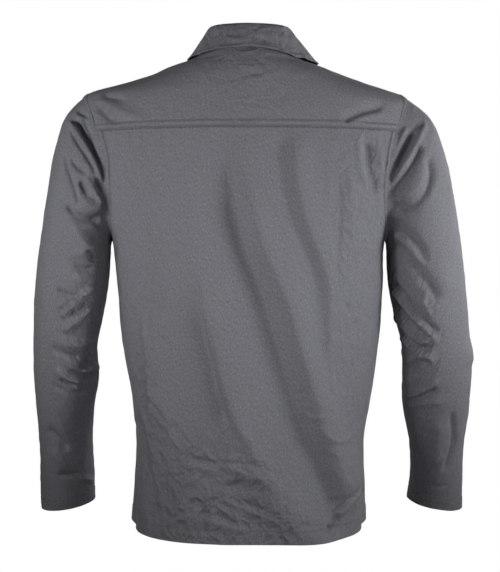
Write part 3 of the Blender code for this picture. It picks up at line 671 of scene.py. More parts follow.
backPanel = {
    "columns": 206,
    "rows": (170, 68),  # up the side seam and round the armhole
    "waves": ((0.0006, 0.07, 1), (0.00025, 0.025, 2)),
    "seamLap": 0.6,
    # the crumple: everywhere, low in the middle (x, half width, fade), and by the sides
    "crumple": {"plain": 0.10, "low": 0.80, "middle": 0.03, "half": 0.06, "fade": 0.07,
                "lowFrom": -0.50, "lowFade": 0.12,
                "sides": 0.30, "sidesFrom": 0.10, "sidesFade": 0.04},
    "creases": (
        # the long trough from the left shoulder down to the lower right, and the ridge beside it
        (((48, -110), (40, -150), (30, -190), (18, -230), (8, -270), (-5, -310), (-18, -350),
          (-28, -400), (-40, -440), (-50, -480), (-63, -520), (-76, -560), (-93, -600),
          (-109, -640), (-126, -690), (-132, -720)), 32, 16, -14.3, 170, 40),
        (((22, -110), (15, -150), (5, -190), (-2, -220), (-8, -250), (-16, -280), (-30, -310),
          (-45, -340), (-59, -370), (-68, -400), (-77, -440), (-91, -480), (-101, -520),
          (-113, -560), (-126, -600), (-137, -640), (-141, -690)), 14, 26, 14.3, 170, 50),
        # the second trough and ridge, to the right of them
        (((-46, -120), (-50, -160), (-54, -200), (-62, -240), (-72, -270), (-84, -300), (-94, -330),
          (-99, -360), (-100, -400)), 14, 8, -4.1, 40, 60),
        (((-68, -120), (-70, -160), (-74, -200), (-82, -240), (-94, -275), (-106, -305),
          (-116, -335), (-121, -370), (-119, -400), (-119, -440), (-121, -485)),
         9, 24, 7.2, 40, 60),
        (((-130, -170), (-133, -220), (-133, -260), (-131, -300), (-129, -340), (-128, -390)),
         12, 4, -2.6, 50, 50),
        (((-146, -170), (-149, -220), (-149, -260), (-147, -310)), 9, 14, 3.0, 50, 50),
        # the hollow beside the right armhole
        (((-170, -136), (-175, -158), (-178, -182), (-183, -203), (-192, -220)),
         8, 10, -7.6, 18, 14),
        (((-159, -134), (-162, -160), (-165, -186), (-171, -208)), 5, 5, 3.0, 12, 12),
        (((-196, -150), (-194, -168), (-194, -186)), 4, 4, 2.4, 10, 10),
        (((-160, -206), (-170, -216), (-183, -222), (-194, -217)), 2.2, 2.2, -2.0, 8, 8),
        # soft columns on the left, then the crisp edge of the broad ridge
        (((80, -150), (75, -230), (72, -300), (66, -370), (60, -420)), 18, 20, 2.6, 70, 60),
        (((132, -125), (140, -145), (150, -168), (160, -185)), 7, 7, -1.6, 12, 25),
        (((64, -320), (57, -390), (48, -430), (40, -455), (36, -480), (30, -505), (24, -525),
          (19, -543), (6, -562), (-6, -584)), 7, 48, 12.0, 90, 70),
        (((70, -380), (58, -430), (50, -455), (46, -480), (40, -505), (34, -525), (28, -545)),
         8, 4, -3.4, 40, 20),
        (((26, -520), (6, -560), (-14, -600), (-38, -640), (-72, -686), (-104, -730), (-120, -760)),
         36, 26, 14.5, 60, 12),
        (((40, -500), (34, -535), (22, -562), (6, -584), (-8, -604)), 14, 8, -3.7, 40, 30),
        (((152, -370), (146, -420), (141, -450), (140, -480), (139, -520), (136, -580)),
         4, 34, 8.0, 60, 70),
        (((148, -400), (142, -450), (140, -480), (139, -520), (138, -548)), 3.4, 4, 2.0, 30, 16),
        (((139, -503), (129, -519), (119, -535), (108, -557)), 4, 11, 4.1, 8, 16),
        (((130, -523), (123, -535), (114, -552)), 4, 3, -2.5, 8, 8),
        (((138, -506), (142, -528), (146, -552)), 5, 6, -3.0, 8, 14),
        (((161, -540), (155, -575), (149, -605), (143, -640), (138, -675), (132, -712)),
         12, 6, -4.1, 25, 12),
        (((110, -630), (119, -660), (129, -705)), 13, 14, -5.0, 30, 16),
        # the pulled corner at the lower right
        (((-84, -630), (-106, -666), (-131, -696)), 30, 14, 7.0, 40, 8),
        (((-112, -704), (-126, -700), (-139, -688)), 4, 5, -8.4, 8, 10),
        (((-128, -703), (-138, -687), (-148, -673), (-168, -656)), 4, 4, 5.1, 10, 12),
        (((-127, -694), (-134, -684), (-144, -671), (-160, -657)), 4, 4, -6.4, 8, 14),
        (((-160, -550), (-158, -580), (-151, -605), (-144, -630)), 6, 8, 3.0, 16, 20),
        # small creases on the right
        (((-71, -508), (-77, -504), (-84, -500)), 2.2, 2.2, -3.3, 4, 4),
        (((-81, -528), (-87, -536), (-93, -541), (-99, -540), (-102, -533)), 2.6, 2.6, 3.8, 5, 5),
        (((-84, -524), (-92, -534), (-99, -533)), 2.6, 2.6, -3.0, 5, 5),
        (((-43, -526), (-52, -542), (-61, -557)), 2.2, 2.6, -2.0, 9, 8),
        (((-62, -559), (-70, -566), (-79, -571)), 2.4, 2.4, 2.1, 5, 6),
        (((-99, -546), (-106, -560), (-116, -570), (-130, -575), (-145, -573), (-157, -565)),
         2.8, 2.8, 2.7, 12, 14),
        (((-115, -476), (-119, -488), (-122, -500), (-123, -514)), 2.6, 6, 3.3, 6, 14),
        (((-162, -516), (-155, -527), (-146, -538)), 2.4, 2.4, 2.2, 6, 6),
        (((-138, -332), (-152, -350), (-168, -357)), 4, 5, 1.7, 10, 10),
        (((-136, -374), (-150, -385), (-162, -375)), 5, 5, -2.2, 9, 9),
        (((-143, -239), (-154, -241), (-164, -247)), 2.4, 2.4, -1.7, 7, 7),
        (((-137, -295), (-147, -299), (-158, -306)), 3, 3, -1.2, 7, 7),
        (((-136, -405), (-152, -396), (-170, -408)), 6, 5, 2.0, 12, 12),
        (((-140, -430), (-155, -446), (-172, -440)), 6, 6, -1.7, 12, 12),
        # small creases on the left
        (((173, -366), (167, -378), (160, -386)), 2.2, 2.2, 2.0, 6, 6),
        (((166, -374), (160, -366), (157, -356)), 2.2, 2.2, 1.7, 6, 6),
        (((150, -470), (160, -490), (158, -520)), 4, 6, -2.5, 12, 14),
        # the crumpled stretch above the hem
        (((92, -599), (62, -602), (30, -604), (0, -604), (-20, -608)), 2.8, 2.8, -2.7, 20, 14),
        (((64, -582), (56, -592), (47, -603)), 3, 3, 2.7, 7, 6),
        (((34, -604), (20, -612), (5, -618), (-8, -628)), 6, 4, 4.1, 10, 10),
        (((-2, -620), (-20, -627), (-32, -644)), 6, 5, 3.0, 10, 12),
        (((12, -653), (-8, -664), (-25, -671), (-44, -677)), 5, 4, -2.2, 10, 12),
        (((48, -677), (34, -684), (18, -692)), 5, 5, -3.8, 8, 8),
        (((62, -687), (48, -695)), 3, 3, 2.2, 6, 6),
        (((120, -702), (101, -691), (85, -684), (70, -680)), 4, 5, 3.3, 8, 12),
        (((116, -620), (108, -632), (97, -642)), 3, 3, -2.2, 7, 7),
        (((94, -639), (80, -631), (64, -623)), 5, 4, 2.1, 9, 9),
        (((101, -652), (92, -678)), 5, 5, 2.2, 9, 9),
        (((80, -655), (66, -668), (60, -684)), 5, 5, -2.5, 9, 9),
        (((30, -628), (14, -636), (-6, -640), (-24, -648)), 4, 4, -2.5, 12, 12),
        (((60, -560), (48, -572), (38, -590)), 5, 4, 2.0, 12, 12),
        (((146, -520), (132, -538), (112, -562), (98, -590)), 3, 7, 2.6, 10, 20),
        (((96, -604), (70, -612), (34, -622), (6, -640)), 2.4, 2.4, 2.0, 14, 14),
        (((72, -640), (50, -652), (24, -660)), 2.4, 2.4, 2.2, 10, 10),
        (((110, -590), (104, -622), (108, -660)), 2.4, 2.6, 1.8, 10, 12),
        (((10, -586), (-2, -600), (-22, -612)), 2.4, 2.4, -2.0, 8, 10),
        (((-46, -640), (-52, -660), (-54, -684)), 4, 5, -1.2, 12, 10),
        (((-70, -690), (-90, -697), (-110, -699)), 4, 4, -3.2, 10, 10),
    ),
}


def backSurface():
    # between the side seams and armholes, from the hem up to the yoke's dipping seam
    backTurn = yokeCornerTurns()[0]
    edges = [sideAndArmhole(side, backTurn, backPanel["rows"]) for side in (left, right)]
    edges[1] = otherSide(edges[1])
    bottom = edges[0][0] + (edges[1][0] - edges[0][0]) * np.linspace(0, 1, 600)[:, None]
    top = yokeBackSeam(edges[0][-1], edges[1][-1])
    at = shares(runLength(left, top), backPanel["columns"], jacket["fineSeam"], jacket["fineSeam"])
    bottom, top = (placed(left, run, at) for run in (bottom, top))
    places = fillPatch(left, bottom, top, *edges)
    return onForm(left, places), formNormal(left, places)


def makeBack():
    # the panel with its hem, its lapped seams at the armholes and its rows of stitches
    points, normals = backSurface()
    grain = straightGrain(points, 1)
    up, down = lengthsAlong(points), lengthsBack(points)
    fromLeft, fromRight = lengthsAlong(points, axis=1), lengthsBack(points, axis=1)
    x, z = points[..., 0], points[..., 2]
    relief = creaseRelief(x, z, backPanel["creases"]) + uneven(points, backPanel["waves"])
    relief *= meetingSeams(fromLeft, fromRight, down)
    relief += foldedEdge(up, jacket["hem"], jacket["hemLift"])
    armholeRows = np.arange(len(points)) >= backPanel["rows"][0]
    seams = [(up, fromLeft, jacket["hem"], jacket["hemStrength"])]
    for distance in (fromLeft, fromRight):
        lap = foldedEdge(distance, jacket["rows"][1], jacket["lap"] * backPanel["seamLap"])
        relief += np.where(armholeRows[:, None], lap, 0)
        seams += [(distance, up, row, armholeRows[:, None]) for row in jacket["rows"]]
    grooves, shade = sewn(seams, 3)
    relief += grooves - lappedUnder(down)
    amount = backPanel["crumple"]
    low = smoothStep((amount["lowFrom"] - z) / amount["lowFade"])
    near = 1 - smoothStep((np.abs(x - amount["middle"]) - amount["half"]) / amount["fade"])
    crumple = amount["plain"] + amount["low"] * low * near
    crumple += amount["sides"] * smoothStep((np.abs(x) - amount["sidesFrom"]) / amount["sidesFade"])
    points = points + normals * relief[..., None]
    rows = [lineAcross(points, normals, up, jacket["hem"])]
    for distance, far in ((fromLeft, False), (fromRight, True)):
        rows += linesBeside(points, normals, distance, jacket["rows"], far, armholeRows)
    stitches = addStitches("back_stitching", rows)
    piece = addCloth("back_cloth", points, normals, ["back_panel"], shade, crumple, grain=grain)
    print("back panel", points.shape)


yokePanel = {
    "columns": 206,
    "rows": 80,
    "sideRows": 66,  # of its columns that run round each armhole
    "waves": ((0.0005, 0.07, 7), (0.0002, 0.025, 8)),
    "seamStrength": 0.75,
    "seamLap": 0.7,
    "behind": (0.005, 0.03),  # along Y: where its creases behind take over from those in front
    "crumple": {"plain": 0.12, "middle": 0.35, "reach": 0.06},
    "creases": (
        # the drag folds that run from both armholes towards the neck
        (((224, -82), (208, -89), (190, -97), (168, -106), (140, -112)), 5, 9, 5.4, 12, 40),
        (((220, -88), (210, -101), (199, -110), (182, -117)), 4, 6, -6.0, 8, 14),
        (((212, -75), (196, -79), (172, -83)), 5, 4, -3.0, 10, 16),
        (((-138, -117), (-148, -109), (-160, -103), (-174, -98), (-190, -93), (-208, -87)),
         4, 9, -4.6, 8, 20),
        (((-146, -119), (-162, -111), (-180, -106), (-206, -100)), 5, 5, 3.0, 10, 14),
        (((-120, -84), (-150, -86), (-182, -92), (-206, -104)), 12, 10, -2.2, 30, 20),
        (((-168, -120), (-185, -120), (-208, -124)), 3, 3, 1.1, 10, 8),
        # the dimples below the collar
        (((10, -52), (-4, -48), (-16, -46), (-28, -45)), 3.5, 3.5, -1.3, 8, 10),
        (((4, -57), (-10, -54), (-22, -52)), 4, 3, 1.0, 8, 8),
        (((26, -26), (10, -29), (-12, -31), (-34, -33)), 3, 3, -0.7, 10, 12),
        (((60, -42), (44, -54), (20, -68)), 12, 12, 1.2, 14, 20),
        (((-58, -66), (-50, -84), (-46, -102)), 4, 5, -0.6, 10, 12),
        (((92, -50), (100, -72), (104, -100)), 16, 16, 1.2, 20, 24),
        (((-92, -50), (-100, -76), (-102, -110)), 18, 16, 1.4, 20, 24),
    ),
    "frontCreases": (
        (((214, -100), (196, -94), (172, -84)), 6, 8, 2.6, 12, 18),
        (((-214, -102), (-190, -92), (-160, -80)), 6, 8, 2.6, 12, 18),
    ),
}


def yokeSurface():
    # its outer edge runs up one armhole, across the back and down the other; the inner is the neck
    backTurn, frontTurn = yokeCornerTurns()
    run = armholePlaces(left, np.linspace(frontTurn, backTurn, 200))
    at = shares(runLength(left, run), yokePanel["sideRows"], jacket["fineSeam"])
    side = placed(left, run, at)
    run = armholePlaces(right, np.linspace(backTurn, frontTurn, 200))
    far = otherSide(placed(right, run, 1 - at[::-1]))
    back = yokeBackSeam(side[-1], far[0])
    outer = joined(side, placed(left, back, yokePanel["columns"]), far)
    at = shares(runLength(left, yokeFrontSeam(left, 9)), yokePanel["rows"], jacket["fineSeam"])
    start, end = yokeFrontSeam(left, at), otherSide(yokeFrontSeam(right, at))
    share = (outer[:, 0] - outer[0, 0]) / (outer[-1, 0] - outer[0, 0])
    planStart = yokeNeckTurn()
    plan = planStart + (math.pi - 2 * planStart) * share
    folded = np.where(plan > math.pi / 2, math.pi - plan, plan)
    inner = np.where((plan > math.pi / 2)[:, None], otherSide(neckPlaces(right, folded)),
                     neckPlaces(left, folded))
    places = fillPatch(left, outer, inner, start, end)
    return onForm(left, places), formNormal(left, places)


def makeYoke():
    # over the shoulders: its outer edge laps over the back and the sleeves, its ends the fronts
    points, normals = yokeSurface()
    fromOuter, alongIt = lengthsAlong(points), lengthsAlong(points, axis=1)
    seamEnds = (alongIt, lengthsBack(points, axis=1))
    x, y, z = np.moveaxis(points, -1, 0)
    start, over = yokePanel["behind"]
    behind = smoothStep((y - start) / over)
    relief = behind * creaseRelief(x, z, yokePanel["creases"])
    relief += (1 - behind) * creaseRelief(x, z, yokePanel["frontCreases"])
    relief += uneven(points, yokePanel["waves"])
    relief *= meetingSeams(fromOuter, *seamEnds)
    relief += foldedEdge(fromOuter, jacket["rows"][1], jacket["lap"])
    seams = []
    for row in jacket["rows"]:
        seams += [(fromOuter, alongIt, row, yokePanel["seamStrength"])]
        seams += [(distance, fromOuter, row, 1) for distance in seamEnds]
    grooves, shade = sewn(seams, 9)
    relief += grooves
    for distance in seamEnds:
        relief += foldedEdge(distance, jacket["rows"][1], jacket["lap"] * yokePanel["seamLap"])
    points = points + normals * relief[..., None]
    rows = [lineAcross(points, normals, fromOuter, row) for row in jacket["rows"]]
    for distance, far in zip(seamEnds, (False, True)):
        rows += linesBeside(points, normals, distance, jacket["rows"], far)
    stitches = addStitches("yoke_stitching", rows)
    # its grain runs straight across, and over the shoulders from back to front
    x, y, z = np.moveaxis(points, -1, 0)
    grain = np.stack([x, z - y], axis=-1)
    amount = yokePanel["crumple"]
    crumple = amount["plain"] + amount["middle"] * bell(x, 0, amount["reach"])
    piece = addCloth("yoke_cloth", points, normals, ["back_yoke"], shade, crumple, grain=grain)
    print("yoke", points.shape)


frontCloth = {
    "columns": 112,
    "rows": (150, 62),  # up the side seam and round the armhole
    "neckRows": 36,
    "fineNeck": 0.0060,
    "facingRow": 0.0300,
    "facingLift": 0.0005,
    "facingStrength": 0.6,
    "seamLap": 0.6,
    "waves": ((0.0006, 0.07, 11), (0.00025, 0.025, 12)),
    "crumple": {"plain": 0.15, "low": 0.40, "lowFrom": -0.50, "lowFade": 0.15},
    "flatRound": (0.0105, 0.014),  # folds ease out round each button: where, and over how far
    "creases": {
        left: (
            # drag folds from the armhole, then the long folds of the skirt
            (((202, -148), (174, -184), (142, -214), (112, -238)), 12, 9, -5.8, 16, 40),
            (((206, -178), (182, -214), (152, -254), (128, -300)), 10, 12, 4.9, 16, 50),
            (((198, -236), (180, -262), (160, -300)), 7, 8, -3.6, 12, 24),
            (((122, -130), (112, -220), (108, -320), (116, -440)), 16, 22, 4.4, 50, 90),
            (((94, -150), (84, -260), (86, -360), (98, -480)), 13, 13, -4.7, 50, 90),
            (((150, -310), (140, -420), (122, -520), (88, -630), (58, -712)),
             28, 13, -9.7, 90, 30),
            (((172, -370), (158, -470), (142, -560), (114, -650), (92, -718)),
             13, 30, 9.7, 90, 30),
            (((62, -250), (48, -350), (44, -450), (54, -530)), 16, 16, 3.9, 60, 60),
            (((40, -560), (46, -620), (38, -690)), 14, 12, -4.1, 40, 30),
            # creases above the hem, and a few pulled in at the buttons
            (((176, -566), (150, -590), (122, -600), (92, -602)), 5, 4, -2.8, 16, 20),
            (((150, -640), (124, -652), (92, -650)), 5, 5, 2.5, 14, 16),
            (((72, -668), (50, -680), (26, -682)), 5, 4, -2.8, 12, 12),
            (((126, -672), (104, -684), (84, -696)), 5, 5, -2.5, 12, 12),
            (((6, -204), (26, -212), (50, -228)), 4, 4, -1.4, 10, 14),
            (((6, -318), (30, -320), (56, -330)), 4, 4, 1.4, 10, 16),
            (((6, -424), (28, -432), (46, -450)), 4, 4, -1.4, 10, 14),
            (((6, -536), (26, -540), (52, -544)), 4, 4, -1.5, 10, 16),
            (((6, -636), (30, -628), (56, -606)), 4, 5, 1.6, 10, 16),
            (((34, -120), (40, -160), (36, -196)), 7, 7, 1.3, 16, 20),
        ),
        right: (
            (((-198, -152), (-170, -182), (-138, -206), (-104, -226)), 12, 9, -6.1, 16, 40),
            (((-202, -184), (-178, -216), (-150, -248), (-118, -286)), 12, 10, 4.9, 16, 50),
            (((-196, -240), (-176, -270), (-150, -296)), 8, 7, -3.3, 12, 24),
            (((-126, -136), (-118, -230), (-120, -340), (-132, -450)), 20, 16, 4.1, 50, 90),
            (((-92, -160), (-86, -250), (-92, -370), (-104, -470)), 13, 13, -4.4, 50, 90),
            (((-156, -330), (-150, -430), (-138, -530), (-112, -620), (-84, -712)),
             13, 28, -9.1, 90, 30),
            (((-130, -350), (-122, -450), (-106, -560), (-84, -640), (-62, -718)),
             30, 13, 9.1, 90, 30),
            (((-60, -250), (-52, -350), (-54, -450), (-64, -540)), 16, 16, 3.6, 60, 60),
            (((-172, -552), (-148, -574), (-118, -588), (-90, -586)), 4, 5, -2.8, 16, 20),
            (((-150, -652), (-120, -660), (-94, -656)), 5, 5, 2.5, 14, 16),
            (((-76, -672), (-56, -684), (-36, -686)), 5, 4, -2.5, 12, 12),
            (((-34, -214), (-52, -224), (-70, -242)), 4, 4, -1.3, 12, 14),
            (((-34, -430), (-54, -438), (-72, -458)), 4, 4, 1.3, 12, 14),
            (((-34, -600), (-56, -606), (-80, -618)), 4, 4, -1.5, 12, 16),
        ),
    },
}


def frontSurface(side):
    # between the side seam and armhole and the lapped edge and neck, up to the yoke's front seam
    frontTurn = yokeCornerTurns()[1]
    outer = sideAndArmhole(side, frontTurn, frontCloth["rows"])
    pastMiddle = math.pi / 2 + frontPanel["overlap"] / neckSeam["right"]
    plan = np.linspace(-pastMiddle, yokeNeckTurn(), 60)
    neck = neckPlaces(side, plan)
    neck[:, 0] = np.where(neck[:, 0] > 0, neck[:, 0] - math.tau, neck[:, 0])
    neck = placed(side, neck, frontCloth["neckRows"])
    up = np.linspace(jacket["hemZ"], neck[0, 1], 300)
    beyond = frontPanel["overlap"] / halfWidth(side, np.array(-1.0), up)
    turned = np.arcsin(beyond ** (bodyMeasure("square", up) / 2))
    edge = np.stack([-math.pi / 2 - turned, up], axis=-1)
    edge[-1] = neck[0]
    at = shares(runLength(side, edge), len(outer) - frontCloth["neckRows"] + 1, jacket["fineHem"],
                step=jacket["hemStep"])
    inner = joined(placed(side, edge, at), neck)
    top = yokeFrontSeam(side, 300)
    at = shares(runLength(side, top), frontCloth["columns"], jacket["fineSeam"],
                frontCloth["fineNeck"])
    top = placed(side, top, at)
    bottom = outer[0] + (inner[0] - outer[0]) * np.linspace(0, 1, 300)[:, None]
    places = fillPatch(side, placed(side, bottom, at), top, outer, inner)
    return onForm(side, places), formNormal(side, places)


def makeFront(side, name):
    # the left front laps over the right one, which lies a little further in near the middle
    points, normals = frontSurface(side)
    grain = straightGrain(points, -1)
    up, down = lengthsAlong(points), lengthsBack(points)
    fromSide, fromEdge = lengthsAlong(points, axis=1), lengthsBack(points, axis=1)
    x, z = points[..., 0], points[..., 2]
    relief = creaseRelief(x, z, frontCloth["creases"][side]) + uneven(points, frontCloth["waves"])
    relief *= meetingSeams(fromSide, fromEdge, down)
    clear, ease = frontCloth["flatRound"]
    for number in range(1, button["count"] + 1):
        away = np.linalg.norm(points - np.mean(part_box(f"button_{number}"), axis=0), axis=-1)
        relief *= smoothStep((away - clear) / ease)
    relief += foldedEdge(up, jacket["hem"], jacket["hemLift"])
    relief += foldedEdge(fromEdge, frontCloth["facingRow"], frontCloth["facingLift"])
    edgeRows = (jacket["rows"][0] * 1.5, frontCloth["facingRow"])
    armholeRows = np.arange(len(points)) >= frontCloth["rows"][0]
    lap = foldedEdge(fromSide, jacket["rows"][1], jacket["lap"] * frontCloth["seamLap"])
    relief += np.where(armholeRows[:, None], lap, 0)
    seams = [(up, fromSide, jacket["hem"], jacket["hemStrength"])]
    seams += [(fromEdge, up, row, frontCloth["facingStrength"]) for row in edgeRows]
    seams += [(fromSide, up, row, armholeRows[:, None]) for row in jacket["rows"]]
    grooves, shade = sewn(seams, 13)
    relief += grooves - lappedUnder(down)
    amount = frontCloth["crumple"]
    low = smoothStep((amount["lowFrom"] - z) / amount["lowFade"])
    crumple = amount["plain"] + amount["low"] * low
    if side == right:
        reach = smoothStep((frontPanel["underEdge"] + frontPanel["underEase"] + x)
                           / frontPanel["underEase"])
        relief -= frontPanel["under"] * reach
    points = points + normals * relief[..., None]
    rows = [lineAcross(points, normals, up, jacket["hem"])]
    rows += linesBeside(points, normals, fromSide, jacket["rows"], part=armholeRows)
    if side == left:
        rows += linesBeside(points, normals, fromEdge, edgeRows, far=True)
    stitches = addStitches(f"front_stitching_{name}", rows)
    piece = addCloth(f"front_cloth_{name}", points, normals, [f"front_{name}"], shade, crumple,
                     grain=grain)
    print("front", name, points.shape)


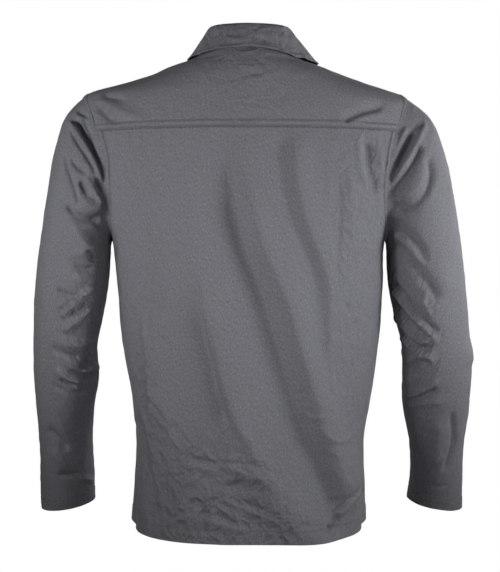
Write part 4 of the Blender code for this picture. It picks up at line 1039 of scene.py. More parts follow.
sleeveForm = {
    "columns": ("outerLeft", "outerRight", "outerZ", "innerLeft", "innerRight", "innerZ",
                "midY", "halfY", "droop"),
    "rows": (
        (0.2430, 0.2350, -0.0770, 0.2010, 0.2060, -0.287, -0.004, 0.0640, 0.000),
        (0.2690, 0.2705, -0.1045, 0.2040, 0.2090, -0.298, -0.004, 0.0710, 0.000),
        (0.2845, 0.2915, -0.146, 0.2050, 0.2100, -0.313, -0.004, 0.0765, 0.000),
        (0.2955, 0.3055, -0.200, 0.2065, 0.2110, -0.334, -0.004, 0.0800, 0.000),
        (0.3060, 0.3170, -0.268, 0.2105, 0.2145, -0.366, -0.003, 0.0810, 0.000),
        (0.3155, 0.3260, -0.338, 0.2175, 0.2230, -0.406, 0.000, 0.0790, 0.000),
        (0.3195, 0.3325, -0.405, 0.2260, 0.2335, -0.449, 0.000, 0.0740, 0.000),
        (0.3225, 0.3400, -0.478, 0.2245, 0.2360, -0.496, -0.008, 0.0690, 0.001),
        (0.3210, 0.3390, -0.545, 0.2330, 0.2380, -0.543, -0.025, 0.0635, 0.002),
        (0.3195, 0.3340, -0.610, 0.2380, 0.2500, -0.599, -0.047, 0.0580, 0.002),
        (0.3215, 0.3350, -0.662, 0.2380, 0.2540, -0.648, -0.064, 0.0530, 0.002),
        (0.3215, 0.3370, -0.710, 0.2380, 0.2520, -0.697, -0.080, 0.0490, 0.003),
    ),
    "capFade": 0.8,
    "rings": 226,
    "around": 152,
    # the length that the rings share out, the fine stretches at the head and the cuff, their step
    "ringShares": (0.66, 0.006, 0.021, 0.0010),
    "behind": (0.12, 0.36),  # where the creases of the back fade into those of the front
    "before": (0.05, 0.30),
    "strength": {left: 1.9, right: 1.15},  # of the creases behind
    "waves": ((0.0006, 0.06, 21), (0.00025, 0.022, 22)),
    "headEase": 0.012,
    # most of the crumple is at the elbow, on the side towards the body
    "crumple": {"plain": 0.12, "elbow": 0.55, "elbowZ": -0.42, "elbowReach": 0.10,
                "inner": 0.3, "innerFade": 0.8},
    # how far the head slides in under the body's edge, along it and square to it, and over what
    "tuck": (0.0045, 0.0010, 0.005),
    "backCreases": {
        left: (
            # drag folds from the shoulder down to the armpit
            (((253, -106), (243, -125), (232, -143), (221, -162), (212, -180), (205, -204)),
             5, 4, -6.8, 12, 12),
            (((261, -111), (248, -130), (236, -149), (225, -167), (216, -187), (208, -208)),
             3.6, 3.5, 5.2, 12, 12),
            (((260, -126), (248, -143), (237, -158), (224, -177)), 3, 3, -2.5, 10, 10),
            (((242, -106), (234, -122), (228, -138), (222, -158)), 3.5, 3.5, -3.5, 10, 12),
            (((252, -98), (241, -101), (230, -109)), 3.5, 4, -3.5, 7, 7),
            (((268, -158), (263, -178), (256, -198), (249, -218), (244, -234)),
             4, 4, -2.5, 14, 14),
            (((260, -164), (251, -175), (241, -183), (230, -187)), 4.5, 3.5, -3.1, 8, 8),
            (((243, -170), (232, -179), (227, -193)), 3.5, 3.5, 2.8, 7, 7),
            (((242, -200), (237, -211), (230, -224)), 5, 5, -5.0, 7, 9),
            (((236, -193), (228, -208), (219, -224), (210, -236)), 4, 4, 4.0, 8, 9),
            (((222, -197), (214, -206), (206, -216)), 4.5, 4.5, -5.5, 6, 6),
            # the bulge above the elbow and its lower edge
            (((246, -228), (228, -238), (211, -240)), 9, 10, 4.4, 10, 8),
            (((266, -232), (254, -246), (238, -254), (214, -257)), 6, 5, -5.2, 14, 8),
            (((250, -258), (246, -274), (237, -290), (226, -304)), 7, 4, 3.8, 8, 8),
            (((236, -268), (228, -282), (220, -292)), 10, 8, -3.3, 10, 10),
            (((236, -300), (228, -309), (221, -320)), 5, 4, -4.8, 6, 6),
            (((266, -312), (248, -306), (234, -307)), 7, 7, 2.8, 12, 8),
            (((254, -324), (238, -329), (222, -326)), 4, 4, -3.5, 8, 8),
            (((256, -336), (240, -346), (226, -344)), 7, 7, 3.1, 10, 8),
            # the elbow
            (((280, -356), (264, -365), (250, -369), (236, -369)), 4, 4, -4.0, 10, 8),
            (((274, -400), (262, -388), (250, -377), (238, -365), (226, -352)),
             4.5, 4.5, 4.4, 10, 8),
            (((276, -394), (263, -381), (252, -372)), 3.5, 3.5, -2.8, 8, 8),
            (((264, -398), (252, -388), (240, -377), (230, -366)), 4, 4, -3.1, 8, 8),
            (((272, -420), (256, -409), (243, -398), (230, -383)), 5, 5, 3.8, 10, 8),
            (((260, -424), (247, -413), (236, -402), (226, -393)), 4, 4, -3.5, 8, 8),
            (((288, -440), (272, -452), (257, -457), (243, -459)), 4, 4, -2.8, 10, 8),
            (((280, -430), (262, -438), (244, -440), (226, -432)), 7, 7, 2.8, 12, 10),
            (((248, -478), (237, -471), (226, -461)), 4.5, 5, -4.4, 7, 7),
            (((282, -472), (270, -486), (258, -493), (244, -500)), 5, 4, 4.0, 8, 10),
            (((276, -490), (264, -499), (248, -503)), 4, 4, -3.1, 8, 8),
            (((264, -479), (250, -485), (236, -489), (222, -495)), 4, 4, -3.8, 8, 7),
            (((248, -478), (236, -480), (222, -482)), 6, 5, 3.8, 8, 6),
            (((290, -498), (272, -509), (252, -514), (232, -510)), 4, 4, -1.4, 12, 10),
            # the forearm and the cuff
            (((302, -568), (290, -582), (278, -594), (268, -612)), 6, 7, -3.0, 14, 16),
            (((300, -600), (284, -620), (276, -650)), 10, 9, 2.2, 20, 20),
            (((290, -646), (272, -649), (252, -645)), 4, 4, -1.4, 10, 10),
            (((256, -653), (247, -659), (238, -668)), 3.5, 3.5, 2.2, 6, 6),
        ),
        right: (
            # drag folds from the shoulder down to the armpit
            (((-246, -126), (-237, -142), (-227, -159), (-218, -176), (-209, -194), (-202, -210)),
             7, 6, -9.7, 12, 12),
            (((-264, -114), (-254, -132), (-244, -152), (-233, -171), (-221, -190), (-206, -212)),
             4, 4, 5.7, 12, 10),
            (((-254, -146), (-246, -162), (-238, -178), (-229, -194), (-217, -209), (-202, -223)),
             4.5, 7, -6.8, 10, 10),
            (((-238, -120), (-227, -134), (-219, -151), (-211, -172), (-203, -192)),
             3.5, 4, 4.8, 10, 10),
            (((-266, -160), (-269, -183), (-265, -204), (-255, -222), (-240, -235), (-224, -239),
              (-204, -236)), 7, 6, -6.4, 16, 10),
            (((-254, -176), (-251, -200), (-240, -216), (-222, -226)), 12, 12, 3.1, 14, 12),
            (((-232, -92), (-226, -108), (-222, -127)), 3.5, 3.5, 1.9, 8, 8),
            (((-230, -122), (-241, -124), (-252, -116)), 4, 4, -1.9, 8, 8),
            # the long troughs of the upper arm
            (((-212, -256), (-228, -268), (-241, -283), (-253, -302), (-263, -322)),
             7, 7, -6.1, 10, 16),
            (((-214, -272), (-232, -290), (-246, -308), (-256, -326)), 6, 6, 4.4, 10, 14),
            (((-214, -288), (-232, -308), (-250, -332), (-266, -354), (-280, -380)),
             6, 8, -5.7, 12, 16),
            (((-272, -318), (-286, -346), (-294, -372)), 12, 12, 3.1, 20, 20),
            (((-255, -369), (-262, -383), (-269, -398)), 3, 3, 3.8, 6, 7),
            # the elbow
            (((-214, -346), (-226, -363), (-240, -380), (-256, -398), (-270, -412), (-282, -424)),
             3.5, 3.5, -4.8, 10, 12),
            (((-214, -356), (-230, -382), (-244, -399), (-258, -414), (-272, -427), (-284, -438)),
             3.5, 3.5, 4.0, 10, 12),
            (((-214, -372), (-228, -394), (-240, -408), (-252, -421), (-266, -431)),
             3.5, 3.5, -4.0, 10, 10),
            (((-216, -398), (-230, -413), (-241, -426), (-252, -434), (-264, -436), (-280, -431)),
             3.5, 3.5, 4.0, 10, 10),
            (((-222, -414), (-234, -428), (-246, -441), (-258, -446), (-274, -444)),
             3.5, 3.5, -3.8, 10, 10),
            (((-228, -430), (-240, -444), (-250, -452), (-264, -455), (-278, -450)),
             4, 4, 3.5, 10, 10),
            (((-236, -474), (-246, -463), (-256, -458), (-268, -460), (-276, -468)),
             4, 4, 3.8, 8, 8),
            (((-240, -484), (-250, -472), (-260, -467), (-272, -474)), 3.5, 3.5, -3.5, 8, 8),
            (((-232, -500), (-250, -492), (-266, -488)), 8, 8, 2.0, 10, 12),
            (((-238, -527), (-253, -517), (-268, -507), (-286, -492)), 3.5, 3.5, 3.8, 10, 12),
            (((-238, -536), (-254, -526), (-270, -515), (-284, -506)), 4, 4, -3.1, 10, 12),
            (((-242, -542), (-256, -533), (-270, -530), (-298, -528)), 4, 4, 2.0, 10, 14),
            (((-248, -560), (-246, -545), (-252, -540)), 4, 4, -1.5, 6, 6),
            (((-318, -440), (-330, -462), (-334, -480)), 12, 14, 3.3, 14, 14),
            # the forearm
            (((-304, -540), (-309, -570), (-311, -592), (-306, -620), (-296, -646)),
             4.5, 6, -5.0, 20, 20),
            (((-284, -548), (-290, -590), (-286, -640)), 10, 9, 2.8, 24, 24),
            (((-276, -664), (-292, -668), (-310, -664)), 3, 3, -1.2, 8, 8),
        ),
    },
    "frontCreases": {
        left: (
            (((262, -112), (250, -140), (236, -168), (218, -196)), 6, 5, -5.5, 14, 14),
            (((272, -124), (260, -154), (246, -182), (226, -210)), 6, 5, 4.8, 14, 14),
            (((270, -240), (250, -262), (228, -272)), 8, 8, -4.2, 14, 12),
            (((296, -330), (272, -352), (244, -362), (222, -366)), 7, 6, -5.2, 16, 12),
            (((298, -362), (276, -384), (248, -394), (222, -396)), 7, 6, 5.0, 16, 12),
            (((302, -392), (278, -414), (250, -424), (224, -424)), 6, 6, -5.2, 16, 12),
            (((300, -424), (276, -446), (250, -456), (226, -454)), 7, 6, 4.8, 16, 12),
            (((298, -458), (276, -478), (252, -486), (230, -482)), 6, 6, -4.0, 14, 12),
            (((290, -560), (280, -600), (276, -640)), 8, 8, -3.1, 24, 24),
        ),
        right: (
            (((-258, -118), (-246, -146), (-232, -172), (-214, -200)), 6, 5, -6.1, 14, 14),
            (((-270, -132), (-258, -160), (-242, -188), (-222, -214)), 6, 5, 4.8, 14, 14),
            (((-268, -248), (-248, -268), (-226, -280)), 8, 8, -4.2, 14, 12),
            (((-304, -340), (-280, -358), (-250, -366), (-226, -368)), 7, 6, -5.2, 16, 12),
            (((-308, -368), (-284, -388), (-254, -398), (-228, -398)), 7, 6, 5.0, 16, 12),
            (((-310, -400), (-284, -420), (-256, -430), (-230, -428)), 6, 6, -5.2, 16, 12),
            (((-308, -434), (-284, -452), (-256, -462), (-232, -458)), 7, 6, 4.8, 16, 12),
            (((-300, -560), (-292, -604), (-286, -650)), 8, 8, -3.3, 24, 24),
        ),
    },
}


def armholeLean(side):
    # outwards, square to the line from the armpit to the top of the armhole
    top, pit = onForm(side, armholePlaces(side, np.array([0, math.pi])))
    line = top - pit
    return unit(np.array([line[2], 0, -line[0]]) * side)


def sleeveSurface(side):
    # ovals between outer and inner points; the first follows the armhole and fades to a plain oval
    name = sideNames[side][0].title()
    knots = np.arange(len(sleeveForm["rows"]), dtype=float)
    length, head, cuff, step = sleeveForm["ringShares"]
    at = knots[-1] * shares(length, sleeveForm["rings"], head, cuff, step)
    turn = evenTurns(sleeveForm["around"])
    sizes = {column: smoothThrough(knots, columnOf(sleeveForm, column), at)[:, None]
             for column in sleeveForm["columns"]}
    outer = np.stack([side * sizes["outer" + name], 0 * at[:, None], sizes["outerZ"]], axis=-1)
    inner = np.stack([side * sizes["inner" + name], 0 * at[:, None], sizes["innerZ"]], axis=-1)
    points = (outer + inner) / 2 + (outer - inner) / 2 * np.cos(turn)[None, :, None]
    points[..., 1] += sizes["midY"] + sizes["halfY"] * np.sin(turn)[None, :]
    points[..., 2] -= sizes["droop"] * np.sin(turn)[None, :]
    seam = onForm(side, armholePlaces(side, turn))
    points += (seam - points[0]) * np.exp(-at / sleeveForm["capFade"])[:, None, None]
    return points, gridNormals(points, ring=True) * side


def makeSleeve(side, name):
    # one tube, set in under the body's edge at its head and hemmed at its cuff
    points, normals = sleeveSurface(side)
    along, fromCuff = lengthsAlong(points), lengthsBack(points)
    closed = np.concatenate([points, points[:, :1]], axis=1)
    grain = np.stack([lengthsAlong(closed, axis=1), lengthsAlong(closed)], axis=-1)
    roundIt = grain[:, :-1, 0]
    turn = evenTurns(sleeveForm["around"])
    behind, before = (smoothStep((facing * np.sin(turn) + start) / over)[None, :]
                      for facing, (start, over) in ((1, sleeveForm["behind"]),
                                                    (-1, sleeveForm["before"])))
    x, z = points[..., 0], points[..., 2]
    relief = behind * creaseRelief(x, z, sleeveForm["backCreases"][side])
    relief *= sleeveForm["strength"][side]
    relief += before * creaseRelief(x, z, sleeveForm["frontCreases"][side])
    relief += uneven(points, sleeveForm["waves"])
    relief *= smoothStep(along / sleeveForm["headEase"])
    relief += foldedEdge(fromCuff, jacket["sleeveHem"], jacket["hemLift"])
    grooves, shade = sewn([(fromCuff, roundIt, jacket["sleeveHem"], jacket["hemStrength"])], 23)
    relief += grooves
    amount = sleeveForm["crumple"]
    elbow = bell(z, amount["elbowZ"], amount["elbowReach"])
    inner = smoothStep((amount["inner"] - np.cos(turn)) / amount["innerFade"])
    crumple = amount["plain"] + amount["elbow"] * elbow * inner
    # the sleeve starts under the body's lapped edge: it slides in along the body's own form
    slide, sink, reach = sleeveForm["tuck"]
    under = (1 - smoothStep(along / reach))[..., None]
    square = formNormal(side, armholePlaces(side, turn))
    lean = armholeLean(side)
    inward = unit(lean - square * np.sum(lean * square, axis=-1, keepdims=True))
    points = points + normals * relief[..., None]
    points = points - (inward * slide + square * sink) * under
    cuffRow = lineAcross(points[::-1], normals[::-1], fromCuff[::-1], jacket["sleeveHem"])
    stitches = addStitches(f"sleeve_stitching_{name}", [cuffRow])
    piece = addCloth(f"sleeve_cloth_{name}", points, normals, [f"sleeve_{name}"], shade, crumple,
                     ring=True, grain=grain)
    print("sleeve", name, points.shape)


stand = {
    "rows": 22,
    "columns": 110,  # round the neck, and past its middle in front
    "pastColumns": 8,
    "under": (0.0032, -60, 25),  # how far in its right end lies, and from where, over how far
    "seam": (0.0003, 0.0009),  # in from the neck seam, and up
    "fold": 0.0018,  # in from the leaf's fold
    "bulge": 0.0006,
}

collar = {
    "columns": ("angle", "foldLeft", "foldRight", "foldZ", "edgeLeft", "edgeRight", "edgeY",
                "standOff"),
    "rows": (
        (-90, 0.88, 0.88, -0.040, 0.038, 0.038, -0.1040, 0.0048),
        (-60, 0.85, 0.86, -0.024, 0.066, 0.068, -0.0860, 0.0048),
        (-30, 0.76, 0.79, 0.006, 0.087, 0.097, -0.0450, 0.0042),
        (0, 0.71, 0.75, 0.0205, 0.0845, 0.1045, 0.0020, 0.0040),
        (35, 0.78, 0.80, 0.0240, 0.0675, 0.0715, 0.0425, 0.0050),
        (65, 0.89, 0.90, 0.0252, 0.0335, 0.0365, 0.0668, 0.0070),
        (78, 0.925, 0.93, 0.0256, 0.0175, 0.0190, 0.0712, 0.0078),
        (90, 0.95, 0.95, 0.0258, 0.0000, 0.0000, 0.0722, 0.0082),
    ),
    "roll": ((-0.0012, 0.0031), (0.0026, 0.0028), (0.0060, -0.0004)),  # out from the fold, and up
    "leafEnd": -82,
    "cloth": 0.0017,
    "leafRows": 34,
    "leafColumns": 120,
    "closer": 1.6,  # the power that draws the leaf's rows together towards its edge
    "edgeRow": 0.0050,
    "edgeLift": 0.0004,
    "endRows": 6,  # left out of the stitches down the leaf's ends, at the fold and at the edge
    "behind": (0.01, 0.03),  # along Y: where the creases start, and over how far
    "waves": ((0.0005, 0.045, 31), (0.0002, 0.018, 32)),
    "creases": (
        (((-40, 6), (-54, 0), (-66, -10), (-78, -21), (-92, -32)), 3, 4, -3.0, 8, 8),
        (((-46, 12), (-62, 4), (-76, -10), (-90, -24)), 4, 4, 2.4, 8, 8),
        (((-14, 8), (-32, 2), (-50, -4), (-64, -10)), 4, 3, -1.4, 8, 8),
        (((34, 10), (20, 5), (4, 4)), 4, 3, 1.4, 8, 8),
        (((30, 1), (18, -2), (2, -3)), 3, 3, -1.6, 8, 8),
        (((48, 18), (52, 6), (56, -6)), 6, 4, -2.0, 8, 8),
        (((-2, 16), (-20, 10), (-34, 12)), 5, 5, 1.2, 8, 8),
        (((22, -8), (0, -9), (-22, -8)), 2.6, 2.6, -1.2, 8, 8),
    ),
}


def collarMeasure(name, angle):
    # one of the collar's measures at any angle round the neck
    return smoothThrough(columnOf(collar, "angle"), columnOf(collar, name), np.maximum(angle, -90))


def radial(line):
    # level, straight out from the middle of the neck
    return unit(line * [1, 1, 0])


def collarLines(side, angle):
    # the neck seam, and the leaf's fold: the same line drawn in and raised
    seam = onForm(side, neckPlaces(side, np.radians(angle)))
    fold = seam * collarMeasure("fold" + sideNames[side][0].title(), angle)[:, None]
    fold[:, 2] = collarMeasure("foldZ", angle)
    return seam, fold


def makeStand():
    # from the neck seam up to just under the fold, bulging between them by the sine of its height
    pastMiddle = -90 - math.degrees(frontPanel["overlap"] / neckSeam["right"])
    angle = np.concatenate([np.linspace(pastMiddle, -90, stand["pastColumns"])[:-1],
                            np.linspace(-90, 90, stand["columns"])])
    lines = {side: collarLines(side, angle) for side in (left, right)}
    inwards, start, over = stand["under"]
    under = np.clip((math.radians(start) - np.radians(angle)) / math.radians(over), 0, 1)[:, None]
    lines[right] = [line - radial(line) * under * inwards for line in lines[right]]
    seam, fold = (np.concatenate([one, other[::-1][1:]])
                  for one, other in zip(lines[left], lines[right]))
    seam = seam - radial(seam) * stand["seam"][0] + [0, 0, stand["seam"][1]]
    fold = fold - radial(fold) * stand["fold"]
    share = np.linspace(0, 1, stand["rows"])[:, None, None]
    points = seam * (1 - share) + fold * share
    points = points + radial(seam) * stand["bulge"] * np.sin(math.pi * share)
    normals = -gridNormals(points)
    normals *= np.sign(np.sum(normals * radial(points), axis=-1).mean())
    piece = addCloth("stand_cloth", points, normals, ["collar_stand"], 0, 0.2, collar["cloth"])
    print("collar stand", points.shape)


def leafSide(side, angle):
    # over the roll, then straight down to the edge, kept clear of the body's form
    seam, fold = collarLines(side, angle)
    rolled = [fold + radial(fold) * out + [0, 0, up] for out, up in collar["roll"]]
    edgeX = side * collarMeasure("edge" + sideNames[side][0].title(), angle)
    edgePlan = np.stack([edgeX, collarMeasure("edgeY", angle)], axis=-1)
    standOff = collarMeasure("standOff", angle)[:, None]

    def lying(share):
        # the lowest line that the leaf may take, at a share of the way from the seam to the edge
        x, y = (seam[:, :2] * (1 - share) + edgePlan * share).T
        places = formPlaces(side, x, y)
        normal = formNormal(side, places)
        return np.stack([x, y, places[:, 1]], axis=-1) + normal * standOff, normal

    edge = lying(1)[0]
    rows = []
    for share in 1 - np.linspace(1, 0, collar["leafRows"])[1:] ** collar["closer"]:
        lowest, normal = lying(share)
        straight = rolled[-1] + (edge - rolled[-1]) * share
        inside = np.sum((lowest - straight) * normal, axis=-1, keepdims=True)
        rows.append(straight + normal * np.maximum(0, inside))
    return np.stack(rolled + rows)


def makeLeaf():
    # turned down over the neck seam, with a row of stitches inside its edge and its ends
    angle = np.linspace(collar["leafEnd"], 90, collar["leafColumns"])
    points = np.concatenate([leafSide(left, angle), leafSide(right, angle)[:, ::-1][:, 1:]], axis=1)
    normals = gridNormals(points)
    fallen = slice(8, None)  # the rows past the roll, which face outwards
    normals *= np.sign(np.sum(normals[fallen] * radial(points[fallen]), axis=-1).mean())
    down, fromEdge = lengthsAlong(points), lengthsBack(points)
    across = lengthsAlong(points, axis=1)
    border = np.minimum(fromEdge, np.minimum(across, lengthsBack(points, axis=1)))
    x, y, z = np.moveaxis(points, -1, 0)
    start, over = collar["behind"]
    relief = smoothStep((y + start) / over) * creaseRelief(x, z, collar["creases"])
    relief += uneven(points, collar["waves"])
    relief *= meetingSeams(down)
    # the turned edges stand a little proud of the stitched line inside them
    relief += foldedEdge(border, collar["edgeRow"], collar["edgeLift"])
    grooves, shade = sewn([(border, across, collar["edgeRow"], 1)], 33)
    relief += grooves
    points = points + normals * relief[..., None]
    rows = [lineAcross(points[::-1], normals[::-1], fromEdge[::-1], collar["edgeRow"])]
    ends = slice(collar["endRows"], -collar["endRows"])
    for lengths, far in ((lengthsAlong, False), (lengthsBack, True)):
        distance = lengths(points, axis=1)
        rows += linesBeside(points, normals, distance, [collar["edgeRow"]], far, ends)
    stitches = addStitches("leaf_stitching", rows)
    piece = addCloth("leaf_cloth", points, normals, ["collar_leaf"], shade, 0.5, collar["cloth"])
    print("collar leaf", points.shape)


button = {
    "sides": 16,
    # the turned profile, from the dish to the back: radius and height, both as built (m)
    "profile": ((0.0044, 0.0017), (0.0050, 0.0019), (0.0060, 0.0026), (0.0072, 0.0029),
                (0.0082, 0.0026), (0.0088, 0.0020), (0.0089, 0.0013), (0.0085, 0.0005),
                (0.0074, 0.0001), (0.0044, 0.0002)),
    "count": 6,
    "raised": 0.0009,  # how far its back stands in front of the node's own
    "holeAt": 0.0017,
    "holeRadius": 0.00085,
    "colours": ("45464b", "5a5b61"),  # between which the plastic is clouded
}

sewnOn = {  # the thread through the holes: two bars of three strands
    "radius": 0.00028,
    "apart": 0.00034,
    "places": 9,
    "low": 0.0011,
    "high": 0.0011,
    "roundness": 0.96,
}

buttonhole = {  # close stitches round a slit that runs across, under the button
    "length": 0.0215,
    "count": 44,
    "radius": 0.00022,
    "reach": (0.0002, 0.0017),  # from the slit to where a stitch starts and ends
    "places": 5,
    "low": 0.0002,
    "high": 0.0003,
    "bend": (0.3, 2.8),  # the part of a half turn that a stitch bends through
    "sunk": 0.0002,
}


def buttonMaterial():
    # pressed polyester: a satin grey shell, faintly cloudy, darker than the twill
    material, tree, shader = newMaterial("pressed_polyester")
    shader.inputs["Roughness"].default_value = 0.32
    shader.inputs["Specular IOR Level"].default_value = 0.5
    place = addNode(tree, "ShaderNodeTexCoord")
    cloud = addNode(tree, "ShaderNodeTexNoise", [(place, 3, "Vector")], Scale=240, Detail=3)
    mix = addNode(tree, "ShaderNodeMixRGB", [(cloud, 0, 0)])
    for socket, colour in enumerate(button["colours"], 1):
        mix.inputs[socket].default_value = linear(colour)
    tree.links.new(mix.outputs[0], shader.inputs["Base Color"])
    return material


def quarterCap(height):
    # a quarter of the dish: eight places on its border, eight round its hole, both counterclockwise
    reach = button["profile"][0][0]
    turns = np.radians([0, 22.5, 45, 67.5, 90])
    arc = reach * np.stack([np.cos(turns), np.sin(turns)], axis=-1)
    border = np.concatenate([[[0, 0], [reach / 2, 0]], arc, [[0, reach / 2]]])
    middle = button["holeAt"] * math.sqrt(0.5)
    turns = np.radians(np.array([225, 270, 315, 0, 45, 90, 135, 180]))
    hole = middle + button["holeRadius"] * np.stack([np.cos(turns), np.sin(turns)], axis=-1)
    flat = np.concatenate([border, hole])
    return np.concatenate([flat, np.full((len(flat), 1), height)], axis=-1)


def buttonMesh():
    # a turned ring, closed by a dish and a back that are joined through four holes
    profile, sides = np.array(button["profile"]), button["sides"]
    turn = evenTurns(sides)
    rings = np.stack([profile[:, 0, None] * np.cos(turn), profile[:, 0, None] * np.sin(turn),
                      np.repeat(profile[:, 1, None], sides, axis=1)], axis=-1)
    points = rings.reshape(-1, 3).tolist()
    faces = gridFaces(len(profile), sides)[:, [0, 3, 2, 1]].tolist()
    for quarter in range(4):
        cosine, sine = math.cos(quarter * math.pi / 2), math.sin(quarter * math.pi / 2)
        matrix = np.array([[cosine, -sine, 0], [sine, cosine, 0], [0, 0, 1]])
        starts = []
        for height in (profile[0, 1], profile[-1, 1]):
            starts.append(len(points))
            points += (quarterCap(height) @ matrix.T).tolist()
        top, base = starts
        for k in range(8):
            after = (k + 1) % 8
            faces.append((top + k, top + after, top + 8 + after, top + 8 + k))
            faces.append((base + after, base + k, base + 8 + k, base + 8 + after))
            faces.append((top + 8 + k, top + 8 + after, base + 8 + after, base + 8 + k))
    shape = bmesh.new()
    vertices = [shape.verts.new(point) for point in points]
    for face in faces:
        shape.faces.new([vertices[k] for k in face])
    bmesh.ops.remove_doubles(shape, verts=shape.verts, dist=0.00001)
    bmesh.ops.recalc_face_normals(shape, faces=shape.faces)
    return shape


def tube(line, radius, around=6):
    # a closed tube along a line, drawn to a point at both ends
    along = unit(np.gradient(line, axis=0))
    aside = unit(np.cross(along, [0.31, 0.17, 0.93]))
    up = np.cross(along, aside)
    turn = evenTurns(around)
    size = radius * np.sqrt(np.sin(np.linspace(0.12, math.pi - 0.12, len(line))))[:, None, None]
    rings = line[:, None] + size * (aside[:, None] * np.cos(turn)[None, :, None]
                                    + up[:, None] * np.sin(turn)[None, :, None])
    caps = [list(range(around))[::-1], list(range((len(line) - 1) * around, len(line) * around))]
    return rings.reshape(-1, 3), gridFaces(len(line), around).tolist() + caps


def addTubes(name, tubes):
    # many lengths of sewing thread as one piece
    points, faces, start = [], [], 0
    for own, ownFaces in tubes:
        points += own.tolist()
        faces += [[start + k for k in face] for face in ownFaces]
        start += len(own)
    mesh = bpy.data.meshes.new(name)
    mesh.from_pydata(points, [], faces)
    return finishPiece(name, mesh, sewingThread)


def makeButton(number):
    # the shell stands where its node does and faces the same way; then its thread and buttonhole
    node = f"button_{number}"
    places = np.array([corner.co[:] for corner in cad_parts[node].data.vertices])
    low, high = places.min(axis=0), places.max(axis=0)
    middle = (low + high) / 2
    spans = np.linalg.svd(places - places.mean(axis=0), full_matrices=False)[2]
    facing = spans[2] * (-1 if spans[2][1] > 0 else 1)
    reach = (places - middle) @ facing
    base = middle + facing * (reach.min() + button["raised"])
    across = unit(np.cross([0, 0, 1], facing))
    axes = np.stack([across, np.cross(facing, across), facing])
    shape = buttonMesh()
    mesh = bpy.data.meshes.new(f"{node}_shell")
    shape.to_mesh(mesh)
    shape.free()
    local = np.array([corner.co[:] for corner in mesh.vertices])
    mesh.vertices.foreach_set("co", (base + local @ axes).reshape(-1))
    shell = finishPiece(f"{node}_shell", mesh, pressedButton, replaced=[node])
    smooth = shell.modifiers.new("Subsurf", "SUBSURF")
    smooth.levels = smooth.render_levels = 2
    corner, strands = button["holeAt"] * math.sqrt(0.5), []
    share = np.linspace(-1, 1, sewnOn["places"])
    rise = sewnOn["high"] * np.sqrt(1 - share**2 * sewnOn["roundness"])
    for bar in (-corner, corner):
        for shift in (-sewnOn["apart"], 0, sewnOn["apart"]):
            line = np.stack([share * corner, 0 * share + (bar + shift), sewnOn["low"] + rise],
                            axis=-1)
            strands.append(tube(base + line @ axes, sewnOn["radius"]))
    addTubes(f"{node}_thread", strands)
    strands, places = [], buttonhole["places"]
    rise = buttonhole["high"] * np.sin(np.linspace(*buttonhole["bend"], places))
    for row in (-1, 1):
        for share in (np.arange(buttonhole["count"]) + 0.5) / buttonhole["count"] - 0.5:
            line = np.stack([np.full(places, share * buttonhole["length"]),
                             row * np.linspace(*buttonhole["reach"], places),
                             buttonhole["low"] + rise], axis=-1)
            line = base + line @ axes - facing * buttonhole["sunk"]
            strands.append(tube(line, buttonhole["radius"], 4))
    addTubes(f"{node}_buttonhole", strands)


studio = {
    "fill": 0.02,  # light from all round
    "floorZ": -1.45,
    "floorRadius": 2.1,
    "floorGlow": 0.6,
    # place, size, watts, how far its beam spreads (degrees) and the height it is turned to
    "lights": (
        ((-1.12, 0.62, -0.12), 0.40, 3.9, 180, -0.35),
        ((1.12, 0.62, -0.12), 0.40, 3.0, 180, -0.35),
        ((-1.10, -0.10, -0.15), 0.40, 1.4, 180, -0.35),
        ((0.90, 0.90, -0.18), 0.30, 0.66, 60, -0.20),
        ((-1.12, 0.62, -0.18), 0.30, 0.50, 60, -0.22),
        ((-0.30, 1.20, -0.50), 0.40, 0.42, 60, -0.50),
        ((-1.20, 0.34, -0.18), 0.30, 0.20, 60, -0.22),
        ((-1.6, -2.2, 0.2), 0.8, 24, 180, -0.35),
        ((1.2, -2.8, 0.1), 0.8, 14, 180, -0.35),
        ((-0.4, -3.0, 0.5), 1.0, 22, 180, -0.35),
    ),
    "camera": (0, 2.4, -0.1755),
    "cameraTurn": (85.64, 0, 179.89),  # degrees
    "lens": 115.2,
}


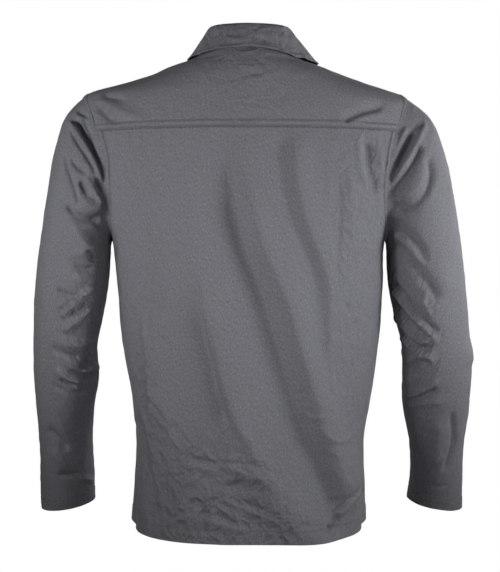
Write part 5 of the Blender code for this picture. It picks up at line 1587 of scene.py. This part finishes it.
def whiteWorld():
    # the backdrop is plain white to look at, and lights the cloth only a little
    world = bpy.data.worlds.new("studio")
    world.use_nodes = True
    tree = world.node_tree
    fill = tree.nodes["Background"]
    fill.inputs["Color"].default_value = (1, 1, 1, 1)
    fill.inputs["Strength"].default_value = studio["fill"]
    backdrop = addNode(tree, "ShaderNodeBackground", Strength=1.0)
    backdrop.inputs["Color"].default_value = (1, 1, 1, 1)
    seen = addNode(tree, "ShaderNodeLightPath")
    mix = addNode(tree, "ShaderNodeMixShader", [(seen, 0, 0), (fill, 0, 1), (backdrop, 0, 2)])
    tree.links.new(mix.outputs[0], tree.nodes["World Output"].inputs["Surface"])
    bpy.context.scene.world = world


def paleFloor():
    # a disc that glows a little to look pale, and that glow doesn't reach the cloth
    mesh = bpy.data.meshes.new("floor")
    turn = np.linspace(0, math.tau, 97)[:-1]
    corners = np.stack([studio["floorRadius"] * np.cos(turn), studio["floorRadius"] * np.sin(turn),
                        np.full(96, studio["floorZ"])], axis=-1)
    mesh.from_pydata(corners.tolist(), [], [list(range(96))])
    floor = bpy.data.objects.new("floor", mesh)
    bpy.context.scene.collection.objects.link(floor)
    material, _, shader = newMaterial("pale_floor")
    shader.inputs["Base Color"].default_value = linear("f4f4f4")
    shader.inputs["Emission Color"].default_value = (1, 1, 1, 1)
    shader.inputs["Emission Strength"].default_value = studio["floorGlow"]
    floor.visible_diffuse = floor.visible_glossy = False
    mesh.materials.append(material)


def makeStudio():
    # the world, the floor, the softboxes and the camera
    whiteWorld()
    paleFloor()
    for place, size, watts, spread, height in studio["lights"]:
        lamp = bpy.data.lights.new("softbox", "AREA")
        lamp.size, lamp.energy, lamp.spread = size, watts, math.radians(spread)
        holder = bpy.data.objects.new("softbox", lamp)
        holder.location = place
        towards = Vector((0, 0, height)) - Vector(place)
        holder.rotation_euler = towards.to_track_quat("-Z", "Y").to_euler()
        bpy.context.scene.collection.objects.link(holder)
    lens = bpy.data.cameras.new("camera")
    lens.sensor_fit, lens.sensor_width, lens.lens = "HORIZONTAL", 36, studio["lens"]
    camera = bpy.data.objects.new("camera", lens)
    camera.location = studio["camera"]
    camera.rotation_euler = [math.radians(turn) for turn in studio["cameraTurn"]]
    bpy.context.scene.collection.objects.link(camera)
    bpy.context.scene.camera = camera
    bpy.context.scene.view_settings.view_transform = "Standard"
    print("studio")


makeStudio()
makeBack()
makeYoke()
for side in (left, right):
    makeFront(side, sideNames[side][0])
for side in (left, right):
    makeSleeve(side, sideNames[side][0])
makeStand()
makeLeaf()
pressedButton = buttonMaterial()
for number in range(1, button["count"] + 1):
    makeButton(number)
print("buttons")
